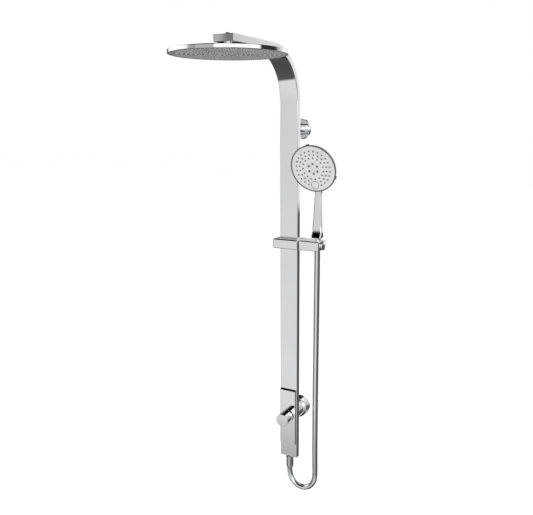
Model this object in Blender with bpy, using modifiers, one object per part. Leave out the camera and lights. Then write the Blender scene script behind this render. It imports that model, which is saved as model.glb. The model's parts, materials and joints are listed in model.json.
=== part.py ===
"""Rainfall shower column: a bent flat riser with an overhead rose, a sliding handset holder, a handset
on a smooth hose and a diverter.

Metres. X runs right along the wall, Y into the wall, Z up. The origin is the point where the middle of the
upper wall plate meets the wall, so the wall is the plane Y = 0 and the whole object lies at Y <= 0.
Run it in Blender's text editor, or with blender --background --python part.py.
"""

import math

import bmesh
import bpy
from mathutils import Matrix, Vector

OBJECT_NAME = "rainfall_shower_column"
GAP = 0.0003  # left between pieces that touch
CUT_PAST = 0.001  # how far a cutter runs past the face it opens

# Riser: a flat rectangular tube that turns through a quarter circle into the arm.
WALL_GAP = 0.0615
RISER_WIDTH = 0.050
RISER_DEPTH = 0.015
RISER_WALL = 0.0015
BACK_Y = -WALL_GAP
FRONT_Y = BACK_Y - RISER_DEPTH
MID_Y = (BACK_Y + FRONT_Y) / 2
FOOT_Z = -0.897
TOP_Z = FOOT_Z + 1.090
BEND_OUTER = 0.127
ARM_REACH = 0.2915  # from the riser's front face to the arm's end face
ARM_END_Y = FRONT_Y - ARM_REACH
ARM_UNDER_Z = TOP_Z - RISER_DEPTH
END_CAP = 0.002
TUBE_X = 0.010  # the inner water tube runs beside the bracket screw
TUBE_RADIUS = 0.004

# Overhead rose and its ball joint.
HEAD_Y = ARM_END_Y + 0.018
HEAD_RADIUS = 0.125
BALL_Z = ARM_UNDER_Z - 0.0115
BALL_RADIUS = 0.006
HEAD_FACE_Z = BALL_Z - 0.0127
HEAD_RINGS = ((0.034, 6), (0.067, 10), (0.100, 14))

# Diverter, on one axis with the wall inlet.
VALVE_Z = FOOT_Z + 0.124
KNOB_RADIUS = 0.0175
PLATE_WIDTH = 0.046
PLATE_THICK = 0.0070
PLATE_SLOPE = 0.0024  # how much lower the plate's top edge lies in front than behind
PLATE_BOTTOM = FOOT_Z + 0.040
PLATE_TOP = FOOT_Z + 0.201
INLET_RADIUS = 0.0285
INLET_SHOULDER = 0.0240  # how far the wide part of the inlet barrel stands out from the wall
VALVE_BLOCK = 0.044  # side of the square part of the valve inside the riser

# Sliding holder.
SLIDER_Z = FOOT_Z + 0.6070
SLIDER_HALF = 0.0355
SLIDER_HEIGHT = 0.0248
SLIDER_FRONT = FRONT_Y - 0.022
SLIDER_BACK = BACK_Y + 0.016
CRADLE_LEFT = SLIDER_HALF + 0.0006
CRADLE_RIGHT = 0.0925
CRADLE_FRONT = SLIDER_FRONT + 0.0055
CRADLE_BACK = BACK_Y + 0.013
HOLDER_X = 0.0785  # the handset's own axis, and the hose's
HOLDER_KNOB_RADIUS = 0.0120

# Handset.
HANDSET_NUT_BOTTOM = FOOT_Z + 0.595
HANDSET_NUT_TOP = FOOT_Z + 0.626
HANDLE_BOTTOM = FOOT_Z + 0.6265
HANDLE_TOP = FOOT_Z + 0.768
HANDLE_LEAN = 0.0045  # how much further back the handle's top lies than its foot
FACE_CENTRE = Vector((HOLDER_X, FRONT_Y - 0.023, FOOT_Z + 0.8018))
FACE_TILT = math.radians(18)
FACE_RADIUS = 0.0563
RING_RADIUS = 0.0608
HANDSET_RINGS = ((0.043, 14), (0.028, 9), (0.0125, 5))
BADGE_CENTRE = (0.0, -0.043)
BADGE_RADIUS = 0.0095

# Hose: a smooth tube, from the nut under the riser to the nut under the handset.
HOSE_RADIUS = 0.0075
LOWER_NUT_BOTTOM = FOOT_Z - 0.036
HOSE_ROUTE = (  # (x, height above the riser's foot), all in the riser's middle plane
    (0.0, -0.0363), (0.0, -0.046), (0.0014, -0.057), (0.0055, -0.068), (0.0125, -0.0775), (0.0215, -0.0842),
    (0.032, -0.0877), (0.0425, -0.0880), (0.053, -0.0850), (0.0625, -0.0788), (0.070, -0.070),
    (0.0752, -0.059), (0.0775, -0.046), (0.0780, -0.030), (0.0778, -0.008), (0.0774, 0.025),
    (0.0772, 0.070), (0.0771, 0.130), (0.0771, 0.200), (0.0773, 0.270), (0.0776, 0.340),
    (0.0779, 0.410), (0.0782, 0.480), (0.0784, 0.540), (HOLDER_X, 0.575), (HOLDER_X, 0.5947),
)

CHROME = ("chrome", (0.80, 0.81, 0.82), 0.06, 1.0)
NOZZLE_GREY = ("grey_silicone", (0.35, 0.36, 0.37), 0.55, 0.0)
FACE_GREY = ("satin_face", (0.60, 0.61, 0.62), 0.30, 0.6)
BRASS = ("brass", (0.78, 0.60, 0.30), 0.30, 1.0)
STEEL = ("steel", (0.55, 0.56, 0.57), 0.28, 1.0)
POLYMER = ("white_polymer", (0.82, 0.82, 0.80), 0.45, 0.0)
DARK_POLYMER = ("dark_polymer", (0.08, 0.08, 0.09), 0.45, 0.0)
RUBBER = ("rubber", (0.03, 0.03, 0.03), 0.75, 0.0)
HOSE_SILVER = ("hose_silver", (0.72, 0.73, 0.75), 0.18, 0.9)

UP = Matrix.Identity(4)
OUT_OF_WALL = Matrix.Rotation(math.radians(90), 4, "X")  # local +Z points to the room, along -Y
TO_RIGHT = Matrix.Rotation(math.radians(90), 4, "Y")  # local +Z points along +X
OUT_OF_FACE = Matrix.Rotation(math.radians(90) + FACE_TILT, 4, "X")
# Stands an outline drawn as (y, z) upright, with its thickness along X.
SIDE_VIEW = Matrix(((0, 0, 1, 0), (1, 0, 0, 0), (0, 1, 0, 0), (0, 0, 0, 1)))


def clear_scene():
    for obj in list(bpy.data.objects):
        bpy.data.objects.remove(obj, do_unlink=True)


def new_collection(name, hidden):
    collection = bpy.data.collections.new(name)
    bpy.context.scene.collection.children.link(collection)
    collection.hide_render = hidden
    return collection


def material(spec):
    name, colour, roughness, metallic = spec
    found = bpy.data.materials.get(name)
    if found:
        return found
    made = bpy.data.materials.new(name)
    made.use_nodes = True
    shader = made.node_tree.nodes["Principled BSDF"]
    shader.inputs["Base Color"].default_value = (*colour, 1)
    shader.inputs["Roughness"].default_value = roughness
    shader.inputs["Metallic"].default_value = metallic
    made.diffuse_color = (*colour, 1)
    return made


def add_object(name, data, spec=None, matrix=UP):
    """Puts data into the parts collection with its material or, with no material, among the cutters."""
    obj = bpy.data.objects.new(name, data)
    obj.matrix_world = matrix
    if spec:
        PARTS.objects.link(obj)
        data.materials.append(material(spec))
    else:
        CUTTERS.objects.link(obj)
        obj.hide_render = True
        obj.display_type = "WIRE"
    return obj


def mesh_from(name, bm):
    mesh = bpy.data.meshes.new(name)
    bmesh.ops.recalc_face_normals(bm, faces=bm.faces)
    bm.to_mesh(mesh)
    bm.free()
    return mesh


def at(x, y, z, turn=UP):
    return Matrix.Translation((x, y, z)) @ turn


def box(name, low, high, spec=None):
    """A box between two corners, with its origin at its middle."""
    low, high = Vector(low), Vector(high)
    bm = bmesh.new()
    bmesh.ops.create_cube(bm, size=1, matrix=Matrix.Diagonal((*(high - low), 1)))
    return add_object(name, mesh_from(name, bm), spec, Matrix.Translation((low + high) / 2))


def rod(name, start, end, radius, spec=None, sides=20):
    """A cylinder between two points."""
    start, end = Vector(start), Vector(end)
    turn = (end - start).to_track_quat("Z", "Y").to_matrix().to_4x4()
    bm = bmesh.new()
    bmesh.ops.create_cone(
        bm, cap_ends=True, segments=sides, radius1=radius, radius2=radius, depth=(end - start).length
    )
    return add_object(name, mesh_from(name, bm), spec, Matrix.Translation((start + end) / 2) @ turn)


def turned(name, profile, matrix, spec=None, steps=24, loop=False):
    """Turns a profile of (radius, height) points about the local Z axis.

    The points run down the outer side. A loop closes on itself and makes a ring or a tube.
    """
    mesh = bpy.data.meshes.new(name)
    count = len(profile)
    edges = [(i, i + 1) for i in range(count - 1)]
    if loop:
        edges.append((count - 1, 0))
    mesh.from_pydata([(r, 0, z) for r, z in profile], edges, [])
    obj = add_object(name, mesh, spec, matrix)
    screw = obj.modifiers.new("turn", "SCREW")
    screw.steps = steps
    screw.render_steps = steps
    screw.use_merge_vertices = True
    screw.merge_threshold = 0.00001
    screw.use_smooth_shade = True
    screw.use_normal_calculate = False
    return obj


def arc(centre, radius, start, end, count):
    """Points of an arc in a profile's plane, its angles in degrees from the +r direction."""
    for i in range(count + 1):
        angle = math.radians(start + (end - start) * i / count)
        yield (centre[0] + radius * math.cos(angle), centre[1] + radius * math.sin(angle))


def outline(name, points, thickness, matrix, spec=None):
    """A flat outline, extruded by half its thickness to each side, as a mesh."""
    curve = bpy.data.curves.new(name, "CURVE")
    curve.dimensions = "2D"
    curve.fill_mode = "BOTH"
    curve.extrude = thickness / 2
    spline = curve.splines.new("POLY")
    spline.points.add(len(points) - 1)
    for point, (x, y) in zip(spline.points, points):
        point.co = (x, y, 0, 1)
    spline.use_cyclic_u = True
    return as_mesh(name, curve, matrix, spec)


def pipe(name, points, radius, spec):
    """A round bar along a line of points, its ends closed."""
    curve = bpy.data.curves.new(name, "CURVE")
    curve.dimensions = "3D"
    curve.bevel_depth = radius
    curve.bevel_resolution = 2
    curve.use_fill_caps = True
    spline = curve.splines.new("POLY")
    spline.points.add(len(points) - 1)
    for point, place in zip(spline.points, points):
        point.co = (*place, 1)
    return add_object(name, curve, spec)


def as_mesh(name, curve, matrix, spec):
    """Makes a closed mesh object of a curve, so that it can be cut, and drops the curve."""
    source = bpy.data.objects.new(name + "_curve", curve)
    bpy.context.scene.collection.objects.link(source)
    bpy.context.view_layer.update()
    evaluated = source.evaluated_get(bpy.context.evaluated_depsgraph_get())
    mesh = bpy.data.meshes.new_from_object(evaluated)
    bpy.data.objects.remove(source, do_unlink=True)
    bm = bmesh.new()
    bm.from_mesh(mesh)
    bmesh.ops.remove_doubles(bm, verts=bm.verts, dist=0.00001)
    bmesh.ops.recalc_face_normals(bm, faces=bm.faces)
    bm.to_mesh(mesh)
    bm.free()
    mesh.name = name
    return add_object(name, mesh, spec, matrix)


def boolean(obj, other, operation="DIFFERENCE"):
    modifier = obj.modifiers.new(f"{operation.lower()} {other.name}", "BOOLEAN")
    modifier.operation = operation
    modifier.solver = "EXACT"
    modifier.object = other
    return obj


def join(obj, other):
    return boolean(obj, other, "UNION")


def soften(obj, width, segments=2, degrees=40):
    bevel = obj.modifiers.new("soften", "BEVEL")
    bevel.width = width
    bevel.segments = segments
    bevel.limit_method = "ANGLE"
    bevel.angle_limit = math.radians(degrees)
    return obj


def smooth(obj):
    """Rounds the shading of a mesh that no modifier turns."""
    obj.data.shade_smooth()
    obj.data.set_sharp_from_angle(angle=math.radians(35))
    return obj


# --- riser and arm ---------------------------------------------------------------------------------------


def riser_outline(inset, end_y, foot_z, bend_steps=10):
    """The riser's side view as (y, z) points, drawn in by inset all along."""
    centre = (BACK_Y - BEND_OUTER, TOP_Z - BEND_OUTER)
    outer = BEND_OUTER - inset
    inner = BEND_OUTER - RISER_DEPTH + inset
    points = [(BACK_Y - inset, foot_z)]
    points += arc(centre, outer, 0, 90, bend_steps)
    points += [(end_y, TOP_Z - inset), (end_y, ARM_UNDER_Z + inset)]
    points += arc(centre, inner, 90, 0, bend_steps)
    points.append((FRONT_Y + inset, foot_z))
    return points


def make_riser():
    tube_end = ARM_END_Y + END_CAP + GAP
    riser = outline("riser_column", riser_outline(0, tube_end, FOOT_Z), RISER_WIDTH, SIDE_VIEW, CHROME)
    soften(smooth(riser), 0.0014)
    inside = riser_outline(RISER_WALL, tube_end - CUT_PAST, FOOT_Z - CUT_PAST)
    boolean(riser, outline("riser_hollow", inside, RISER_WIDTH - 2 * RISER_WALL, SIDE_VIEW))
    through = RISER_WALL + CUT_PAST
    holes = (
        ("rose_hole", (0, HEAD_Y, ARM_UNDER_Z - CUT_PAST), (0, HEAD_Y, ARM_UNDER_Z + through), 0.0068),
        ("plug_hole", (0, HEAD_Y, TOP_Z - through), (0, HEAD_Y, TOP_Z + CUT_PAST), 0.0043),
        ("bracket_hole", (0, BACK_Y + CUT_PAST, 0), (0, BACK_Y - through, 0), 0.0030),
        ("valve_hole", (0, BACK_Y + CUT_PAST, VALVE_Z), (0, BACK_Y - through, VALVE_Z), 0.0158),
        ("cartridge_hole", (0, FRONT_Y + through, VALVE_Z), (0, FRONT_Y - CUT_PAST, VALVE_Z), 0.0116),
    )
    for name, start, end, radius in holes:
        boolean(riser, rod(name, start, end, radius))


def make_arm_end():
    """The end cap, with a plug that fills the tube's mouth."""
    half = RISER_WIDTH / 2
    cap = box("arm_end_cap", (-half, ARM_END_Y, ARM_UNDER_Z), (half, ARM_END_Y + END_CAP, TOP_Z), CHROME)
    soften(cap, 0.0007)
    inner = half - RISER_WALL - GAP
    low = (-inner, ARM_END_Y + END_CAP / 2, ARM_UNDER_Z + RISER_WALL + GAP)
    high = (inner, ARM_END_Y + 0.007, TOP_Z - RISER_WALL - GAP)
    join(cap, box("cap_plug", low, high))


def make_arm_outlet():
    """The block inside the arm that the rose's stud screws into, and the dome plug above it."""
    low = (-0.020, HEAD_Y - 0.0095, ARM_UNDER_Z + RISER_WALL + GAP)
    high = (0.020, HEAD_Y + 0.013, TOP_Z - RISER_WALL - GAP)
    block = box("arm_outlet_block", low, high, BRASS)
    middle = (low[2] + high[2]) / 2
    below, above = (0, HEAD_Y, low[2] - CUT_PAST), (0, HEAD_Y, high[2] + CUT_PAST)
    boolean(block, rod("outlet_bore", below, above, 0.0068))
    boolean(block, rod("feed_bore", (TUBE_X, high[1] + CUT_PAST, middle), (TUBE_X, HEAD_Y, middle), 0.0030))
    boolean(block, rod("cross_bore", (TUBE_X, HEAD_Y, middle), (0, HEAD_Y, middle), 0.0025))
    dome = [(0, 0.0045), (0.003, 0.0041), (0.0053, 0.0028), (0.0065, GAP)]
    stem = [(0.0040, GAP), (0.0040, -0.0035), (0, -0.0035)]
    turned("arm_top_plug", dome + stem, at(0, HEAD_Y, TOP_Z), CHROME)
    return high[1], middle


def make_water_tube(end_y, end_z):
    """The tube inside the riser, from the valve round the bend to the arm's outlet block."""
    radius = BEND_OUTER - RISER_DEPTH / 2
    centre = (BACK_Y - BEND_OUTER, TOP_Z - BEND_OUTER)
    start_z = VALVE_Z + VALVE_BLOCK / 2 + GAP
    points = [(TUBE_X, MID_Y, start_z), (TUBE_X, MID_Y, (start_z + centre[1]) / 2)]
    points += [(TUBE_X, y, z) for y, z in arc(centre, radius, 0, 90, 12)]
    points.append((TUBE_X, end_y + GAP, end_z))
    pipe("riser_water_tube", points, TUBE_RADIUS, POLYMER)


# --- overhead rose ---------------------------------------------------------------------------------------


def make_rose_stud():
    """The hollow stud under the arm, with a collar and a ball."""
    arm = ARM_UNDER_Z - BALL_Z
    neck = 0.0030
    top = math.degrees(math.acos(neck / BALL_RADIUS))
    bore = 0.0020
    foot = -math.degrees(math.acos(bore / BALL_RADIUS))
    profile = [(bore, arm + 0.008), (0.0065, arm + 0.008), (0.0065, arm - GAP), (0.0083, arm - GAP)]
    profile += [(0.0083, arm - 0.0035), (neck, arm - 0.0043)]
    profile += arc((0, 0), BALL_RADIUS, top, foot, 8)
    turned("overhead_ball_stud", profile, at(0, HEAD_Y, BALL_Z), CHROME, steps=16, loop=True)


def make_ball_nut():
    """The nut that holds the ball down on its seal."""
    hollow = BALL_RADIUS + 0.00035
    lip = 0.0041
    top = math.degrees(math.acos(lip / hollow))
    low = math.degrees(math.asin(0.0006 / hollow))
    profile = [(lip, 0.0064), (0.0080, 0.0064), (0.0120, 0.0040), (0.0120, -0.0025), (0.0086, -0.0025)]
    profile.append((0.0086, 0.0006))
    profile += arc((0, 0), hollow, low, top, 4)
    turned("overhead_ball_nut", profile, at(0, HEAD_Y, BALL_Z), CHROME, steps=18, loop=True)


def make_ball_seal():
    seat = BALL_RADIUS + GAP
    outer, inner = 0.0061, 0.0038
    start = -math.degrees(math.acos(inner / seat))
    end = -math.degrees(math.acos(outer / seat))
    profile = [(outer, -0.0069), (inner, -0.0069)]
    profile += arc((0, 0), seat, start, end, 3)
    turned("overhead_ball_seal", profile, at(0, HEAD_Y, BALL_Z), RUBBER, steps=16, loop=True)


def make_rose_shell():
    """The thin round shell, with the boss that the ball nut screws onto."""
    rim = HEAD_RADIUS
    under = HEAD_FACE_Z - BALL_Z - GAP
    profile = [(0.0064, 0.0002), (0.0083, 0.0002), (0.0083, -0.0032), (0.016, -0.0034)]
    profile += [(rim - 0.0010, -0.0049), (rim, -0.0059), (rim, under + 0.0006)]
    profile += [(rim - 0.0004, under), (rim - 0.0017, under), (rim - 0.0017, -0.0068)]
    profile += [(0.0083, -0.0050), (0.0083, -0.0087)]
    profile += [(0.0042, -0.0087), (0.0042, -0.0072), (0.0064, -0.0072)]
    turned("overhead_shell", profile, at(0, HEAD_Y, BALL_Z), CHROME, steps=36, loop=True)


def ring_places(rings, keep_clear=None, clearance=0.0):
    """(x, y, ring radius) of each nozzle, leaving out those near one point."""
    for radius, count in rings:
        for i in range(count):
            angle = 2 * math.pi * (i + 0.5) / count
            place = (radius * math.cos(angle), radius * math.sin(angle))
            if keep_clear and math.dist(place, keep_clear) < clearance:
                continue
            yield (*place, radius)


def cones(name, places, top, bottom, top_radius, bottom_radius, matrix, sides=6):
    """Many upright cones in one cutter, from height top down to height bottom."""
    bm = bmesh.new()
    for x, y, scale in places:
        middle = Matrix.Translation((x, y, (top + bottom) / 2))
        bmesh.ops.create_cone(
            bm,
            cap_ends=True,
            segments=sides,
            radius1=bottom_radius * scale,
            radius2=top_radius * scale,
            depth=top - bottom,
            matrix=middle,
        )
    return add_object(name, mesh_from(name, bm), None, matrix)


def make_rose_face():
    """The face plate, and behind it the silicone mat whose tips stand through the plate's holes."""
    places = [(x, y, 1.0) for x, y, _ in ring_places(HEAD_RINGS)]
    level = at(0, HEAD_Y, HEAD_FACE_Z)
    radius = HEAD_RADIUS - 0.0020
    plate = turned(
        "overhead_face_plate", [(0, 0.0015), (radius, 0.0015), (radius, 0), (0, 0)], level, FACE_GREY, 36
    )
    boolean(plate, cones("face_holes", places, 0.0025, -0.001, 0.0023, 0.0023, level))
    mat_radius = 0.112
    profile = [(0, 0.0028), (mat_radius, 0.0028), (mat_radius, 0.0018), (0, 0.0018)]
    mat = turned("overhead_nozzle_mat", profile, level, NOZZLE_GREY, 28)
    join(mat, cones("mat_tips", places, 0.0023, -0.0012, 0.0019, 0.0013, level))


# --- wall fixings ----------------------------------------------------------------------------------------


def make_upper_bracket():
    """The wall plate and its spigot, the post that slides over it, the cover and the two screws."""
    out = OUT_OF_WALL
    spigot = [(0, 0.020), (0.0075, 0.020), (0.0080, 0.0195), (0.0080, 0.005)]
    plate = turned("upper_wall_plate", spigot + [(0.020, 0.005), (0.020, 0), (0, 0)], out, STEEL)
    for side in (-1, 1):
        start, end = (side * 0.0135, CUT_PAST, 0), (side * 0.0135, -0.005 - CUT_PAST, 0)
        boolean(plate, rod(f"wall_screw_hole_{side}", start, end, 0.0024, sides=16))
    outer = 0.0140  # of the post
    post = [(0.0028, WALL_GAP - GAP), (outer - 0.0005, WALL_GAP - GAP), (outer, WALL_GAP - 0.0008)]
    post += [(outer, 0.0053), (0.0083, 0.0053), (0.0083, 0.0210), (0.0028, 0.0210)]
    post = turned("upper_post", post, out, CHROME, loop=True)
    boolean(post, rod("grub_hole", (0, -0.0125, -0.0150), (0, -0.0125, -0.0050), 0.0023, sides=16))
    rim = 0.0260
    cover = [(outer + GAP, 0.0090), (rim - 0.0012, 0.0090), (rim, 0.0078), (rim, GAP), (rim - 0.0015, GAP)]
    cover += [(rim - 0.0015, 0.0075), (outer + GAP, 0.0075)]
    turned("upper_flange", cover, out, CHROME, steps=28, loop=True)
    head = RISER_WALL + WALL_GAP + GAP
    screw = [(0, head + 0.0025), (0.0040, head + 0.0022), (0.0045, head), (0.0025, head)]
    turned("upper_post_screw", screw + [(0.0025, 0.030), (0, 0.030)], out, STEEL, steps=16)
    grub = turned(
        "upper_grub_screw", [(0, 0.0048), (0.0020, 0.0048), (0.0020, 0), (0, 0)],
        at(0, -0.0125, -0.0135), STEEL, steps=12,
    )
    boolean(grub, rod("upper_grub_key", (0, -0.0125, -0.0145), (0, -0.0125, -0.0118), 0.0010, sides=6))


def make_inlet():
    """The escutcheon, the barrel behind the riser, and the water inlet inside them."""
    axis = at(0, 0, VALVE_Z, OUT_OF_WALL)
    outer = INLET_RADIUS
    ring = [(0.0203, 0.0080), (outer - 0.0008, 0.0080), (outer, 0.0072), (outer, 0), (0.0203, 0)]
    turned("inlet_flange", ring, axis, CHROME, steps=28, loop=True)
    front, shoulder = WALL_GAP - GAP, INLET_SHOULDER
    neck = 0.0228
    skin = 0.0020
    barrel = [(0.0161, front), (neck - 0.0006, front), (neck, front - 0.0006), (neck, shoulder + 0.0006)]
    barrel += [(outer - 0.0017, shoulder), (outer - 0.0005, shoulder - 0.0012), (outer - 0.0005, 0.0083)]
    barrel += [(outer - 0.0005 - skin, 0.0083), (outer - 0.0005 - skin, shoulder - skin)]
    barrel += [(neck - skin, shoulder - skin), (neck - skin, front - 0.0025), (0.0161, front - 0.0025)]
    turned("inlet_barrel", barrel, axis, CHROME, steps=28, loop=True)
    nut = [(0, 0.0135), (0.0165, 0.0135), (0.0173, 0.0128), (0.0173, 0.0015), (0, 0.0015)]
    nut = turned("inlet_union_nut", nut, axis, BRASS, steps=6)
    boolean(nut, rod("union_bore", (0, 0, VALVE_Z), (0, -0.0145, VALVE_Z), 0.0120))
    pipe_end = [(0.0080, 0.0202), (0.0117, 0.0202), (0.0117, 0.0030), (0.0080, 0.0030)]
    turned("inlet_connector", pipe_end, axis, BRASS, steps=20, loop=True)
    washer = [(0.0075, 0.0027), (0.0117, 0.0027), (0.0117, 0.0008), (0.0075, 0.0008)]
    turned("inlet_washer", washer, axis, RUBBER, steps=24, loop=True)
    valve = [(0.0020, 0.0180), (0.0060, 0.0180), (0.0077, 0.0160), (0.0077, 0.0060), (0.0020, 0.0060)]
    turned("check_valve", valve, axis, DARK_POLYMER, steps=20, loop=True)


# --- diverter --------------------------------------------------------------------------------------------


def make_valve_body():
    """The brass body: a drum in the inlet barrel and a square block inside the riser."""
    axis = at(0, 0, VALVE_Z, OUT_OF_WALL)
    block_back = WALL_GAP + RISER_WALL + GAP
    block_front = WALL_GAP + RISER_DEPTH - RISER_WALL - GAP
    half = VALVE_BLOCK / 2
    low, high = (-half, -block_front, VALVE_Z - half), (half, -block_back, VALVE_Z + half)
    body = box("diverter_body", low, high, BRASS)
    drum = [(0, block_back + 0.002), (0.0154, block_back + 0.002), (0.0154, 0.0500), (0.0200, 0.0490)]
    join(body, turned("valve_drum", drum + [(0.0200, 0.0205), (0, 0.0205)], axis))
    chamber = [(0, block_front + CUT_PAST), (0.0115, block_front + CUT_PAST), (0.0115, 0.0300)]
    boolean(body, turned("valve_chamber", chamber + [(0.0060, 0.0290), (0.0060, 0.0195), (0, 0.0195)], axis))
    for name, x, side in (("riser_port", TUBE_X, 1), ("hose_port", 0, -1)):
        start = (x, MID_Y, VALVE_Z + side * (half + CUT_PAST))
        boolean(body, rod(name, start, (x, MID_Y, VALVE_Z + side * 0.005), 0.0025, sides=12))


def make_cartridge():
    axis = at(0, 0, VALVE_Z, OUT_OF_WALL)
    front = WALL_GAP + RISER_DEPTH
    profile = [(0.0043, front + 0.0015), (0.0105, front + 0.0015), (0.0112, front + 0.0008)]
    profile += [(0.0112, 0.0305), (0.0015, 0.0305), (0.0015, 0.0450), (0.0043, 0.0450)]
    turned("diverter_cartridge", profile, axis, POLYMER, steps=24, loop=True)
    ring = [(0.0116, front + 0.0027), (0.0152, front + 0.0027), (0.0160, front + 0.0019)]
    ring += [(0.0160, front + GAP), (0.0116, front + GAP)]
    turned("cartridge_nut", ring, axis, BRASS, steps=24, loop=True)


def make_cover_plate():
    """The cover over the valve: a flat plate whose top and bottom edges slope back to the riser."""
    back, front = FRONT_Y - GAP, FRONT_Y - GAP - PLATE_THICK
    points = [(back, PLATE_BOTTOM), (back, PLATE_TOP)]
    points += [(front, PLATE_TOP - PLATE_SLOPE), (front, PLATE_BOTTOM + PLATE_SLOPE)]
    plate = outline("cover_plate", points, PLATE_WIDTH, SIDE_VIEW, CHROME)
    soften(plate, 0.0005, segments=1, degrees=60)
    start, end = (0, back + CUT_PAST, VALVE_Z), (0, front - CUT_PAST, VALVE_Z)
    boolean(plate, rod("plate_hole", start, end, 0.0164, sides=32))


def make_knob():
    axis = at(0, 0, VALVE_Z, OUT_OF_WALL)
    face = WALL_GAP + RISER_DEPTH + GAP + PLATE_THICK
    collar = [(0.0050, face + 0.0023), (0.0142, face + 0.0023), (0.0150, face + 0.0015)]
    collar += [(0.0150, face + GAP), (0.0050, face + GAP)]
    turned("knob_collar", collar, axis, CHROME, loop=True)
    rear, front = face + 0.0026, face + 0.0325
    spindle = [(0, front - 0.0165), (0.0034, front - 0.0165), (0.0040, front - 0.0171), (0.0040, 0.0470)]
    turned("diverter_spindle", spindle + [(0, 0.0470)], axis, BRASS, steps=16)
    radius = KNOB_RADIUS
    profile = [(0, front), (radius - 0.0012, front), (radius - 0.0003, front - 0.0004)]
    profile += [(radius, front - 0.0012), (radius, rear + 0.0005), (radius - 0.0005, rear)]
    profile += [(radius - 0.0020, rear), (radius - 0.0020, rear + 0.0040), (0.0043, rear + 0.0040)]
    knob = turned(
        "diverter_knob", profile + [(0.0043, front - 0.0162), (0, front - 0.0162)], axis, CHROME, steps=28
    )
    screw_y = -(rear + 0.0090)
    start, end = (0, screw_y, VALVE_Z - radius - CUT_PAST), (0, screw_y, VALVE_Z - 0.0035)
    boolean(knob, rod("knob_screw_hole", start, end, 0.0021, sides=12))
    screw = [(0, 0.0105), (0.0018, 0.0105), (0.0018, 0), (0, 0)]
    screw = turned("knob_grub_screw", screw, at(0, screw_y, VALVE_Z - 0.0155), STEEL, steps=12)
    low, high = (0, screw_y, VALVE_Z - 0.0165), (0, screw_y, VALVE_Z - 0.0138)
    boolean(screw, rod("knob_screw_key", low, high, 0.0009, sides=6))


# --- foot of the riser and the hose ----------------------------------------------------------------------


def make_foot():
    """The plug in the riser's mouth, the nipple through it and the tube that feeds it."""
    inner_x, inner_y = RISER_WIDTH / 2 - RISER_WALL - GAP, RISER_DEPTH / 2 - RISER_WALL - GAP
    low, high = (-inner_x, MID_Y - inner_y, FOOT_Z + GAP), (inner_x, MID_Y + inner_y, FOOT_Z + 0.012)
    plug = box("foot_plug", low, high, DARK_POLYMER)
    start, end = (0, MID_Y, FOOT_Z - CUT_PAST), (0, MID_Y, FOOT_Z + 0.013)
    boolean(plug, rod("nipple_hole", start, end, 0.0045 + GAP))
    axis = at(0, MID_Y, FOOT_Z)
    nipple = [(0.0030, 0.0160), (0.0045, 0.0160), (0.0045, -GAP), (0.0092, -GAP), (0.0092, -0.0028)]
    nipple += [(0.0080, -0.0032), (0.0080, -0.0140), (0.0030, -0.0140)]
    turned("hose_outlet_nipple", nipple, axis, CHROME, steps=24, loop=True)
    tube_top = VALVE_Z - VALVE_BLOCK / 2 - GAP - FOOT_Z
    tube = [(0.0025, tube_top), (TUBE_RADIUS, tube_top), (TUBE_RADIUS, 0.0163), (0.0025, 0.0163)]
    turned("hose_supply_tube", tube, axis, POLYMER, steps=12, loop=True)
    washer = [(0.0035, -0.0143), (0.0079, -0.0143), (0.0079, -0.0162), (0.0035, -0.0162)]
    turned("hose_lower_washer", washer, axis, RUBBER, steps=20, loop=True)
    foot = LOWER_NUT_BOTTOM - FOOT_Z
    nut = [(0.0083, -0.0036), (0.0099, -0.0036), (0.0105, -0.0042), (0.0105, foot + 0.0030)]
    nut += [(0.0092, foot), (0.0040, foot), (0.0040, -0.0166), (0.0083, -0.0166)]
    turned("hose_lower_nut", nut, axis, CHROME, loop=True)


def smooth_line(route, per_step):
    """Points on a smooth curve through every point of the route, straight at both ends."""
    places = [Vector(point) for point in route]
    places = [2 * places[0] - places[1], *places, 2 * places[-1] - places[-2]]
    line = []
    for before, a, b, after in zip(places, places[1:], places[2:], places[3:]):
        chord = (b - a).length
        leave = (b - before) * (chord / ((b - a).length + (a - before).length))
        arrive = (after - a) * (chord / ((after - b).length + (b - a).length))
        for i in range(per_step):
            t = i / per_step
            s = 1 - t
            between = a * (s * s * (1 + 2 * t)) + b * (t * t * (3 - 2 * t))
            line.append(between + leave * (t * s * s) - arrive * (t * t * s))
    line.append(places[-2])
    return line


def make_hose():
    route = [(x, MID_Y, FOOT_Z + height) for x, height in HOSE_ROUTE]
    pipe("hose", smooth_line(route, 2), HOSE_RADIUS, HOSE_SILVER)


# --- sliding holder --------------------------------------------------------------------------------------


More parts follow.
